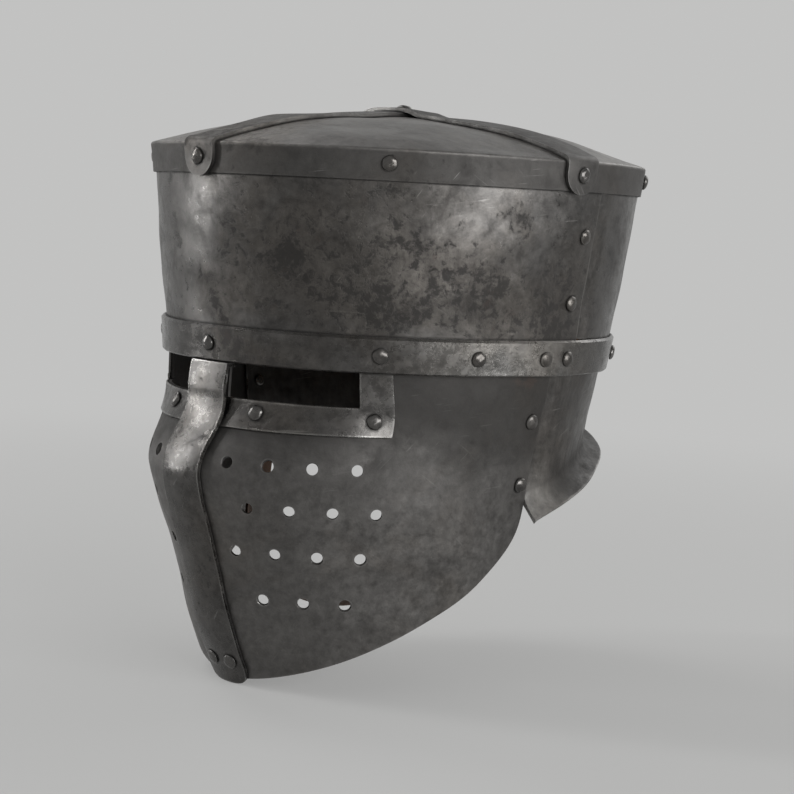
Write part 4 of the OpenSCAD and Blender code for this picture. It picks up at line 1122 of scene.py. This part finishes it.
class HELM_OT_nape_plate(HelmStep):
    """Form the nape plate and turn out its flare"""

    bl_idname = "helm.nape_plate"
    bl_label = "Nape plate"

    def make(self):
        start, gap_low = FACE_SEAM - LAP_ANGLE, FACE_SEAM + SET_FROM
        gap_high = gap_low + 0.2

        def place(u, v):
            t = between(spread(u, (8, 1, 180, 1, 8)),
                        (start, gap_low, gap_high, 360 - gap_high, 360 - gap_low, 360 - start))
            s = spread(v, (14, 38))
            foot = flare(t, 0 * t)[..., 2]
            plate = low(t, mix(foot, BAND_HALF - 1.4, np.clip(s - 1, 0, 1)), -set_in(t, FACE_SEAM))
            return np.where((s <= 1)[:, None], flare(t, 1 - np.clip(s, 0, 1)), plate)

        form("steel", "nape_plate", 198, 52, place, "nape steel", "dark_steel")


class HELM_OT_eye_frames(HelmStep):
    """Cut the frame under each eye slot, with its upright at the outer end"""

    bl_idname = "helm.eye_frames"
    bl_label = "Eye frames"

    def make(self):
        for node, side in (("eye_frame_left", 1), ("eye_frame_right", -1)):
            def place(u, v):
                x = between(spread(u if side > 0 else 1 - u, (48, 7)), (1.5, SLOT_END, SLOT_END + FRAME_LEG))
                z = between(spread(v, (9, 12)), (FRAME_LOW, SLOT_BOTTOM, -BAND_HALF + 1.2))
                return face(side * x, z, FRAME_GAP + FRAME_T)

            form("steel", node, 55, 21, place, "band steel", "worn_steel", thick=FRAME_T,
                 gone=lambda c: (c[:, 2] > SLOT_BOTTOM + 0.2) & (np.abs(c[:, 0]) < SLOT_END - 0.2))


class HELM_OT_nasal_strap(HelmStep):
    """Forge the nasal strap along the keel"""

    bl_idname = "helm.nasal_strap"
    bl_label = "Nasal strap"

    def make(self):
        def place(u, v):
            x = NASAL_W / 2 * (2 * u - 1)
            end = CHIN_Z - NASAL_DROP + 6.5 * (1 - np.sqrt(1 - np.abs(x / (NASAL_W / 2)) ** 4))
            z = between(spread(v, (8, 52, 36, 1, 7)),
                        (end, CHIN_Z + 13.8, NOSE_Z + 2, -BAND_HALF - 0.4, -BAND_HALF - 0.2, BAND_HALF - 1.6))
            off = np.where(z > -BAND_HALF - 0.3, PLATE_GAP + FRAME_T, nasal_lift(z) + NASAL_T)
            return face(x, z, off)

        form("steel", "nasal_strap", 16, 104, place, "nasal steel", "worn_steel", thick=NASAL_T,
             rounding=0.55)


BROW_SIDE = (46.3, 69.4, 88.3, 95.8, 131.0)
STRAP_ANGLES = (0.0, 90.0, 180.0, 270.0)
RIM_ANGLES = (46.0, 134.0, 226.0, 314.0)
SEAM_RIVET_ANGLE, SEAM_RIVET_Z = SKULL_SEAM - 4.7, (61.0, 27.4)
FACE_RIVET_ANGLE, FACE_RIVET_Z = FACE_SEAM - 3.4, -32.5
FRAME_RIVET_Z, FRAME_RIVET_X = SLOT_BOTTOM - FRAME_H / 2 + 0.6, (30.7, SLOT_END + 3.8)
TIP_RIVET_X, TIP_RIVET_Z = 6.2, CHIN_Z + 10.8


def rivet_outline(grip, flat=1.0):
    """Outline of a rivet from its spread tail up to the top of its head, whose seat is at 0."""
    r, tail, low_z = HEAD_D / 2, TAIL_D / 2, -grip - TAIL_H
    head = [(r * math.cos(a) + 0.02, HEAD_H * flat * (0.18 + 0.82 * math.sin(a)))
            for a in np.radians([0, 14, 28, 42, 56, 70, 82, 89])]
    return ([(tail - 0.9, low_z), (tail - 0.3, low_z + 0.25), (tail, low_z + 0.6), (tail, -grip),
             (SHANK_R, -grip), (SHANK_R, 0), (r - 0.25, 0), (r, 0.12)] + head)


class HELM_OT_rivets(HelmStep):
    """Turn each kind of rivet once and set its copies in their holes"""

    bl_idname = "helm.rivets"
    bl_label = "Rivets"

    def make(self):
        def on(surface, off, *spots):
            return [(surface(a, b) + normal(surface, a, b) * off, normal(surface, a, b)) for a, b in spots]

        both, rivet_z = (-1, 1), mix(RIM_LOW, RIM_TOP, 0.55)
        strap_off, rim_off = CAP_OFF + STRAP_GAP + STRAP_T + SEAT, CAP_OFF + SEAT
        frame_off, tip_off = FRAME_GAP + FRAME_T + FRAME_SEAT, NASAL_GAP + NASAL_T + 2 * SEAT
        crossing = 2 * (STRAP_T + STRAP_GAP)
        brow = [(t, BAND_OUT - (BAND_PROUD if fold(t) > SKULL_SEAM else 0) + SEAT)
                for t in (0.0, 180.0, *BROW_SIDE, *[-t for t in BROW_SIDE])]
        self.kind("crown_rivet", crossing + SEAT,
                  [((0, wall_cy(RIM_TOP), RIM_TOP + DOME_RISE + crossing + SEAT), (0, 0, 1))])
        self.kind("cap_strap_rivets", strap_off, on(wall, strap_off, *[(t, rivet_z) for t in STRAP_ANGLES]))
        self.kind("cap_rim_rivets", rim_off, on(wall, rim_off, *[(t, rivet_z) for t in RIM_ANGLES]))
        self.kind("skull_seam_rivets", SEAT + STEP,
                  on(wall, SEAT, *[(s * SEAM_RIVET_ANGLE, z) for s in both for z in SEAM_RIVET_Z]))
        self.kind("brow_band_rivets", BAND_OUT - LINER_OFF + SEAT + LEATHER_T + WASHER_GAP,
                  [on(wall, off, (t, 0.0))[0] for t, off in brow], under=WASHER_T)
        self.kind("eye_frame_rivets", frame_off,
                  on(face, frame_off - 0.4, *[(s * x, FRAME_RIVET_Z) for s in both for x in FRAME_RIVET_X]))
        self.kind("face_seam_rivets", SEAT + STEP,
                  on(low, SEAT, *[(s * FACE_RIVET_ANGLE, FACE_RIVET_Z) for s in both]))
        self.kind("nasal_rivets", tip_off, on(face, tip_off, *[(s * TIP_RIVET_X, TIP_RIVET_Z) for s in both]),
                  flat=0.6)
        self.pivots()

    def kind(self, node, grip, spots, flat=1.0, under=PLATE_T):
        """Rivets of one kind. They hold the grip, and under it the innermost layer."""
        pattern = turned("rivet", rivet_outline(grip + under + TAIL_GAP, flat))
        copies, depth = [], settings().dent_depth / MM
        for number, (place, out) in enumerate(spots):
            copies.append(stood(pattern, dented(np.array(place), depth), out, number * 2.1))
            self.hammer(copies[-1], number)
        discard(pattern)
        self.finish(node, copies)

    def finish(self, node, parts):
        rivets = joined("steel_" + node, parts)
        smooth(rivets, 45)
        settle(rivets, "helm", "rivet steel", "rivet_steel", node)

    def hammer(self, rivet, number):
        """Small flats left by the hammer, different on each head."""
        p = points(rivet)
        centre = p.mean(axis=0)
        out = (p - centre) / (np.linalg.norm(p - centre, axis=1, keepdims=True) + 1e-9)
        rise = 0
        for k in range(3):
            wave = np.random.default_rng(number * 7 + k).normal(size=3)
            wave *= 2 * math.pi / (np.linalg.norm(wave) * (3.2 + k) * MM)
            rise = rise + np.sin(p @ wave + k) / 2.2
        move_points(rivet, p + (settings().head_dent * rise)[:, None] * out)

    def pivots(self):
        """The two rivets on which the chin strap turns. Their inner ends lie on the pivot line."""
        parts = []
        for side in (-1, 1):
            t = side * FACE_RIVET_ANGLE
            out = normal(low, t, CHIN_PIVOT_Z)
            place = low(t, CHIN_PIVOT_Z) + out * SEAT
            head = turned("head", [(SHANK_R, -0.6)] + [pair for pair in rivet_outline(1.0) if pair[1] >= 0])
            parts.append(stood(head, place, out, side))
            self.hammer(parts[-1], 40 + side)
            discard(head)
            x, y = abs(place[0]), low(t, CHIN_PIVOT_Z)[1]
            tab_out = x - SEAT - STEP - PLATE_T - SIDE_TAPER * TAB_R - 0.9
            grip_in, r = tab_out - STRAP_LEATHER_T - 0.1, TAIL_D / 2 + 1
            pin = turned("pin", [(r - 0.5, grip_in - TAIL_H), (r, grip_in - TAIL_H + 0.35), (r, grip_in),
                                 (SHANK_R, grip_in), (SHANK_R, x)])
            parts.append(stood(pin, (0, y, CHIN_PIVOT_Z), (side, 0, 0)))
            discard(pin)
        self.finish("chin_strap_rivets", parts)


class HELM_OT_liner_band(HelmStep):
    """Cut the lining's leather band and sew its two edges"""

    bl_idname = "helm.liner_band"
    bl_label = "Lining band"

    def make(self):
        def place(u, v):
            return wall(360 * u, mix(-LINER_DROP, LINER_TOP, v), LINER_OFF)

        form("leather", "liner_band", 200, 10, place, "lining leather", "liner_leather", thick=LEATHER_T,
             rounding=0.6, weld=True, dent=0)
        inside = LINER_OFF - LEATHER_T
        seam = [(wall(t, z, inside), wall(t + 1, z, inside) - wall(t, z, inside), -normal(wall, t, z))
                for z in (-LINER_DROP + 2.5, LINER_TOP - 2.5) for t in np.arange(0, 360, 2.25)]
        sew("thread_liner_band", "helm", "liner_leather", seam)


class HELM_OT_liner_tongues(HelmStep):
    """Cut the eight tongues of the crown lining and turn each hem over the lace"""

    bl_idname = "helm.liner_tongues"
    bl_label = "Lining tongues"

    def make(self):
        for number in range(1, TONGUES + 1):
            form("leather", "liner_tongue_%d" % number, 18, 56,
                 lambda u, v: self.place(u, v, 360 / TONGUES * (number - 0.5)), "lining leather",
                 "liner_leather", thick=LEATHER_T - 0.2, rounding=0.6, dent=0)

    def place(self, u, v, mid):
        d, s = 2 * u - 1, spread(v, (5, 3, 32, 16))
        base, hem = LINER_TOP + 4, HEM_R + HEM_WALL
        reach = np.linalg.norm(wall(np.array(mid), np.array(base), TONGUE_OFF)[:2])
        a = 90 * np.clip(s - 2, 0, 1)
        w = d * mix(HEM_L / 2, reach * sind(TONGUE_HALF), cosd(a) ** 1.2)
        # the leather bows at the band and puckers where the lace gathers it
        r = (mix(LACE_R, reach, cosd(a) ** 0.9) + (0.4 - d * d) * TONGUE_BOW * cosd(a)
             + 0.5 * np.sin(3.2 * math.pi * d + mid) * sind(a) ** 3 * cosd(a))
        z = mix(base, LACE_Z + hem, sind(a))
        curl = 90 + 280 * np.clip(s - 3, 0, 1)
        r = np.where(s > 3, LACE_R + hem * cosd(curl), r)
        z = np.where(s > 3, LACE_Z + hem * sind(curl), z)
        upper = stack(r * sind(mid) + w * cosd(mid), -r * cosd(mid) + w * sind(mid), z)
        lower = wall(mid + d * TONGUE_HALF, mix(TONGUE_LOW, LINER_TOP, np.clip(s, 0, 1)), TONGUE_OFF)
        return mix(lower, upper, np.clip(s - 1, 0, 1)[:, None])


class HELM_OT_liner_lace(HelmStep):
    """Twist the lace that draws the tongues together and knot it at the back"""

    bl_idname = "helm.liner_lace"
    bl_label = "Lace"

    def make(self):
        ring = self.ring(LACE_R, LACE_D / 2, 360, (0, 0, LACE_Z), (0, 0, 0))
        p = points(ring) / MM
        turn, r = np.arctan2(p[:, 1], p[:, 0]), np.hypot(p[:, 0], p[:, 1])
        round_cord = np.arctan2(p[:, 2] - LACE_Z, r - LACE_R)
        # three strands that turn round each other
        size = 0.94 + 0.08 * np.cos(3 * round_cord - 54 * turn)
        new_r = LACE_R + (r - LACE_R) * size
        move_points(ring, stack(new_r * np.cos(turn), new_r * np.sin(turn),
                                LACE_Z + (p[:, 2] - LACE_Z) * size) * MM)
        knot = [self.ring(HEM_R, 0.62 * LACE_D / 2, 32, (x, LACE_R, LACE_Z), (0, 90, lean))
                for x, lean in ((-1.3, 12), (1.3, -12), (0, 38))]
        lace = joined("cord_liner_lace", [ring, *knot])
        smooth(lace, 60)
        settle(lace, "helm", "hemp", "lace_cord", "liner_lace")

    def ring(self, radius, thick, segments, place, turn):
        deselect()
        bpy.ops.mesh.primitive_torus_add(
            major_radius=radius * MM, minor_radius=thick * MM, major_segments=segments, minor_segments=12,
            location=Vector(place) * MM, rotation=[math.radians(a) for a in turn])
        bpy.ops.object.transform_apply(location=True, rotation=True, scale=False)
        return bpy.context.object


class HELM_OT_brow_pad(HelmStep):
    """Stuff the quilted linen roll at the brow and sew its channels"""

    bl_idname = "helm.brow_pad"
    bl_label = "Brow pad"

    slack = 0.80  # share of the pad's thickness before it swells
    middle = -LINER_DROP + PAD_H / 2
    pull = 0.30  # how far a seam draws the roll towards its core

    def make(self):
        pad = lay_sheet("linen_brow_pad", 180, 24, self.roll, weld=True, dent=0)
        self.stuff(pad)
        apply_modifier(pad, "SUBSURF", levels=1, render_levels=1)
        self.quilt(pad)
        smooth(pad, 180)
        settle(pad, "helm", "linen", "pad_linen", "brow_pad")
        self.channels(pad)

    def roll(self, u, v):
        c, s = powered(np.cos(2 * math.pi * v), 0.7), powered(np.sin(2 * math.pi * v), 0.8)
        off = PAD_OFF - PAD_T / 2 + PAD_T / 2 * self.slack * c
        return wall(360 * u, self.middle + (PAD_H / 2 - 1.2) * s, off)

    def stuff(self, pad):
        """Swells the roll with Blender's cloth; its outer side is held by the leather band."""
        apply_modifier(pad, "REMESH", mode="VOXEL", voxel_size=4.2 * MM)
        start = points(pad)
        t = np.degrees(np.arctan2(start[:, 0], -start[:, 1]))
        line = np.linalg.norm(wall(t, start[:, 2] / MM, PAD_OFF - PAD_T * 0.35)[:, :2], axis=1) * MM
        held = pad.vertex_groups.new(name="held")
        held.add(np.nonzero(np.hypot(start[:, 0], start[:, 1]) > line)[0].tolist(), 1.0, "REPLACE")
        cloth = pad.modifiers.new("Cloth", "CLOTH")
        cloth.settings.quality = 5
        cloth.settings.use_pressure = True
        cloth.settings.uniform_pressure_force = 4.0
        cloth.settings.vertex_group_mass = "held"
        cloth.settings.effector_weights.gravity = 0.0
        cloth.point_cache.frame_start, cloth.point_cache.frame_end = 1, 20
        for number in range(1, 21):
            bpy.context.scene.frame_set(number)
        take(pad)
        bpy.ops.object.modifier_apply(modifier="Cloth")
        bpy.context.scene.frame_set(1)
        moved = points(pad) - start
        length = np.linalg.norm(moved, axis=1, keepdims=True) + 1e-9
        move_points(pad, start + moved * np.minimum(1, 2.2 * MM / length))
        pad.vertex_groups.clear()

    def quilt(self, pad):
        """Draws the roll's inner side in along each channel's seam."""
        p = points(pad) / MM
        t = np.degrees(np.arctan2(p[:, 0], -(p[:, 1] + 2)))
        pitch = 360 / CHANNELS
        away = np.abs((t / pitch + 0.5) % 1 - 0.5) * pitch * math.pi / 180 * 100
        core = wall(t, self.middle + 0 * t, PAD_OFF - PAD_T / 2 + 1.5)
        core[:, 2] = p[:, 2]
        pull = self.pull * np.exp(-(away / 2.1) ** 2)
        inner = np.hypot(p[:, 0], p[:, 1] + 2) < np.hypot(core[:, 0], core[:, 1] + 2)
        move_points(pad, mix(p, core, (pull * inner)[:, None]) * MM)

    def channels(self, pad):
        tree = BVHTree.FromPolygons(points(pad).tolist(), [f.vertices[:] for f in pad.data.polygons])
        seam = []
        for number in range(CHANNELS):
            t = math.radians(number * 360 / CHANNELS)
            way = Vector((math.sin(t), -math.cos(t), 0))
            for z in np.arange(self.middle - 12, self.middle + 12.1, 4.0):
                hit = tree.ray_cast(Vector((0, -2, z)) * MM, way)[0]
                if hit:
                    seam.append((np.array(hit) / MM, (0, 0, 1), -np.array(way)))
        sew("thread_brow_pad", "helm", "pad_linen", seam)


class HELM_OT_chin_strap(HelmStep):
    """Cut the chin strap's two leathers and its keeper, as they lie in the buckle"""

    bl_idname = "helm.chin_strap"
    bl_label = "Chin strap"

    def make(self):
        tab, over = TAB_MID, LAYER + TOP_LAYER
        bow = [self.bow(k / 7) for k in range(8)]
        path = ([(-tab, -TAB_R), (-tab, 0), (-tab, LEG_TOP[1])] + [(-a, b) for a, b in bow] + bow[-2::-1]
                + [self.leg(BAR_AT + 13, LAYER)] + [self.leg(BAR_AT + s, over) for s in (3, -2, -28)])
        out = self.leg_point(0, 1, 0) - self.leg_point(0, 0, 0)
        holes = [self.bore(-1)]
        holes += [self.tool(1.6, worn(*self.leg(BAR_AT - s, over), 0), out) for s in (7.5, 25.0)]
        self.ribbon("chin_strap_long", path, 190, 12.0, holes + [self.slot(-1.8, 10.2, -2, 12)])

        r = FOLD_R + STRAP_LEATHER_T / 2
        turn = [(r * cosd(a), r * sind(a)) for a in range(-80, 91, 17)]
        path = [(tab, -TAB_R), (tab, 0), (tab, LEG_TOP[1])]
        path += [self.leg(s, 0) for s in (7, 16, 26, BAR_AT - 15)]
        path += [self.leg(BAR_AT + x, LAYER + y) for x, y in
                 [(-8, -2.42), (-4, -r)] + turn + [(-4, 2.15), (-10, -0.1), (-FOLD_TAIL, -0.42)]]
        self.ribbon("chin_strap_short", path, 120, 0, [self.bore(1), self.slot(-3.6, 6.4, -5, 5)])
        tail = [self.leg_point(BAR_AT - 12.5, LAYER + 0.75, z) for z in np.arange(-6.5, 6.6, 3.25)]
        sew("thread_chin_strap", "chin_strap", "strap_leather",
            [(p, worn(0, 0, 1) - worn(0, 0, 0), out) for p in tail])
        self.leather("strap_keeper", 64, 8, self.loop, 1.5, 0.4)

    def leather(self, node, columns, rows, place, thick, rounding, cuts=()):
        form("leather", node, columns, rows, place, "strap leather", "strap_leather", body="chin_strap",
             thick=thick, rounding=rounding, cuts=cuts, weld=True, dent=0)

    def leg(self, s, n):
        """Across and down, at s along the strap's straight leg and n outwards from it."""
        return tuple(LEG_TOP[i] + LEG_DIR[i] * s + LEG_OUT[i] * n for i in (0, 1))

    def leg_point(self, s, n, c):
        return worn(*self.leg(s, n), c)

    def bow(self, k):
        a = np.array(self.leg(60, LAYER))
        b = a + LEG_DIR * (STRAP_DROP - a[1]) / LEG_DIR[1]
        return tuple((1 - k) ** 2 * a + 2 * k * (1 - k) * b + k * k * np.array([0, STRAP_DROP]))

    def ribbon(self, node, path, columns, point, cuts):
        """A strap along a path: round at the pivot, and with a tapered end where point isn't 0."""
        path = np.array(path)
        for _ in range(3):
            near, far = mix(path[:-1], path[1:], 0.25), mix(path[:-1], path[1:], 0.75)
            path = np.concatenate([path[:1], np.stack([near, far], 1).reshape(-1, 2), path[-1:]])
        run = np.concatenate([[0], np.cumsum(np.linalg.norm(np.diff(path, axis=0), axis=1))])
        total, first, last = run[-1], TAB_R, max(point, 0.01)

        def at(s):
            return np.stack([np.interp(s, run, path[:, i]) for i in (0, 1)], -1)

        def place(u, v):
            s = between(spread(u, (14, columns - 28, 14)), (0, first, total - last, total))
            s = np.where(s < first, first * (1 - np.cos(math.pi / 2 * s / first)), s)
            left = (total - s) / last
            s = np.where((left < 1) & (point > 0), total - last * (1 - np.cos(math.pi / 2 * left)), s)
            half = TAB_R * np.sqrt(np.clip(1 - (1 - np.minimum(s / first, 1)) ** 2, 0, 1))
            if point:
                half = half * np.clip(1 - (1 - np.minimum((total - s) / last, 1)) ** 2.2, 0, 1) ** 0.5
            way = at(np.minimum(s + 0.8, total)) - at(np.maximum(s - 0.8, 0))
            way /= np.linalg.norm(way, axis=1, keepdims=True)
            here = at(s) + np.stack([way[:, 1], -way[:, 0]], -1) * STRAP_LEATHER_T / 2
            return worn(here[:, 0], here[:, 1], half * (2 * v - 1))

        self.leather(node, columns, 10, place, STRAP_LEATHER_T, 0.45, cuts)

    def loop(self, u, v):
        """The keeper: a rounded ring of leather round both layers."""
        c, s = powered(np.cos(2 * math.pi * u), 0.16), powered(np.sin(2 * math.pi * u), 0.16)
        n = (KEEPER_LOW + KEEPER_HIGH) / 2 + (KEEPER_HIGH - KEEPER_LOW) / 2 * c
        return self.leg_point(BAR_AT - 22 + 8 * v, LAYER + n, KEEPER_HALF * s)

    def bore(self, side):
        return self.tool(2.1, (side * TAB_MID, PIVOT_Y, CHIN_PIVOT_Z), (1, 0, 0))

    def tool(self, radius, place, out):
        pattern = turned("punch", [(radius, -4), (radius, 4)], 24)
        tool = stood(pattern, place, out)
        discard(pattern)
        return tool

    def slot(self, x0, x1, y0, y1):
        """A box across the buckle's bar, where the buckle's tongue passes."""
        tool = block((x0, y0, -SLOT_W / 2), (x1, y1, SLOT_W / 2))
        p = points(tool) / MM
        move_points(tool, self.leg_point(BAR_AT + p[:, 0], LAYER + p[:, 1], p[:, 2]) * MM)
        with editing(tool, "FACE"):
            bpy.ops.mesh.normals_make_consistent(inside=False)
        return tool


class HELM_OT_small_parts(HelmStep):
    """Finish the washers, the spacers and the buckle, which keep the frame's own shapes"""

    bl_idname = "helm.small_parts"
    bl_label = "Small parts"

    def make(self):
        for node, finish in {"liner_washers": "washer iron", "chin_strap_spacers": "washer iron",
                             "buckle_frame": "buckle iron", "buckle_tongue": "buckle iron"}.items():
            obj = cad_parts[node]
            obj.data.materials.clear()
            obj.data.materials.append(finish_of(finish))


class HELM_OT_wear(HelmStep):
    """Measure how far each point lies from its piece's edges and from the next piece,
    where the finishes put wear, and dirt with a painted contact shadow"""

    bl_idname = "helm.wear"
    bl_label = "Wear and dirt"

    reach = 8.0  # measured no further than this, in mm

    def make(self):
        meshes = [o for o in bpy.data.objects if o.type == "MESH"]
        shells = {o: points(o) for o in meshes if o.name.startswith("steel_")}
        trees = {o: BVHTree.FromPolygons(p.tolist(), [f.vertices[:] for f in o.data.polygons])
                 for o, p in shells.items()}
        boxes = {o: (p.min(0) - self.reach * MM, p.max(0) + self.reach * MM) for o, p in shells.items()}
        for obj, mine in shells.items():
            near = np.full(len(mine), self.reach)
            for other, (low_corner, high_corner) in boxes.items():
                if other is obj or (low_corner > boxes[obj][1]).any() or (high_corner < boxes[obj][0]).any():
                    continue
                for i in np.nonzero(np.all((mine > low_corner) & (mine < high_corner), axis=1))[0]:
                    found = trees[other].find_nearest(mine[i], near[i] * MM)
                    if found[3] is not None:
                        near[i] = found[3] / MM
            self.keep(obj, "near", near)
        for obj in meshes:
            if obj.name.startswith(("steel_", "leather_")):
                self.keep(obj, "edge", self.edge_distance(obj.data, points(obj)))

    def edge_distance(self, mesh, mine):
        """How far each point lies from the nearest edge that turns by more than 22 degrees."""
        ends = fetch(mesh.edges, "vertices", 2, int)
        normals = fetch(mesh.polygons, "normal", 3)
        loops = fetch(mesh.loops, "edge_index", kind=int)
        owner = np.repeat(np.arange(len(mesh.polygons)), fetch(mesh.polygons, "loop_total", kind=int))
        order = np.argsort(loops, kind="stable")
        edges, owner = loops[order], owner[order]
        pair = np.nonzero(edges[:-1] == edges[1:])[0]
        turn = np.einsum("ij,ij->i", normals[owner[pair]], normals[owner[pair + 1]])
        sharp = np.unique(ends[edges[pair][turn < math.cos(math.radians(22))]])
        if not len(sharp):
            return np.full(len(mine), self.reach)
        tree = KDTree(len(sharp))
        for i in sharp:
            tree.insert(mine[i], i)
        tree.balance()
        return np.array([min(tree.find(p)[2] / MM, self.reach) for p in mine])

    def keep(self, obj, name, values):
        attribute = obj.data.attributes.new(name, "FLOAT", "POINT")
        attribute.data.foreach_set("value", values.astype(np.float32))


STEPS = (HELM_OT_studio, HELM_OT_cap_plate, HELM_OT_cap_straps, HELM_OT_skull_plates, HELM_OT_brow_bands,
         HELM_OT_face_plate, HELM_OT_nape_plate, HELM_OT_eye_frames, HELM_OT_nasal_strap, HELM_OT_rivets,
         HELM_OT_liner_band, HELM_OT_liner_tongues, HELM_OT_liner_lace, HELM_OT_brow_pad, HELM_OT_chin_strap,
         HELM_OT_small_parts, HELM_OT_wear)


class HELM_PT_panel(bpy.types.Panel):
    """Lists the steps and their sizes and colours"""

    bl_idname = "HELM_PT_panel"
    bl_label = "Great helm"
    bl_space_type = "VIEW_3D"
    bl_region_type = "UI"
    bl_category = "Great helm"

    def draw(self, context):
        for group in (context.scene.helm_sizes, context.scene.helm_colours):
            box = self.layout.box()
            for name in group.__annotations__:
                box.prop(group, name)
        for step in STEPS:
            self.layout.operator(step.bl_idname)


CLASSES = (HelmSizes, HelmColours, *STEPS, HELM_PT_panel)


def register():
    for cls in CLASSES:
        bpy.utils.register_class(cls)
    bpy.types.Scene.helm_sizes = bpy.props.PointerProperty(type=HelmSizes)
    bpy.types.Scene.helm_colours = bpy.props.PointerProperty(type=HelmColours)


def unregister():
    del bpy.types.Scene.helm_colours
    del bpy.types.Scene.helm_sizes
    for cls in reversed(CLASSES):
        bpy.utils.unregister_class(cls)


def main():
    register()
    for step in STEPS:
        group, name = step.bl_idname.split(".")
        if getattr(getattr(bpy.ops, group), name)() != {"FINISHED"}:
            raise RuntimeError(step.bl_label + " didn't finish")


if __name__ == "__main__":
    main()
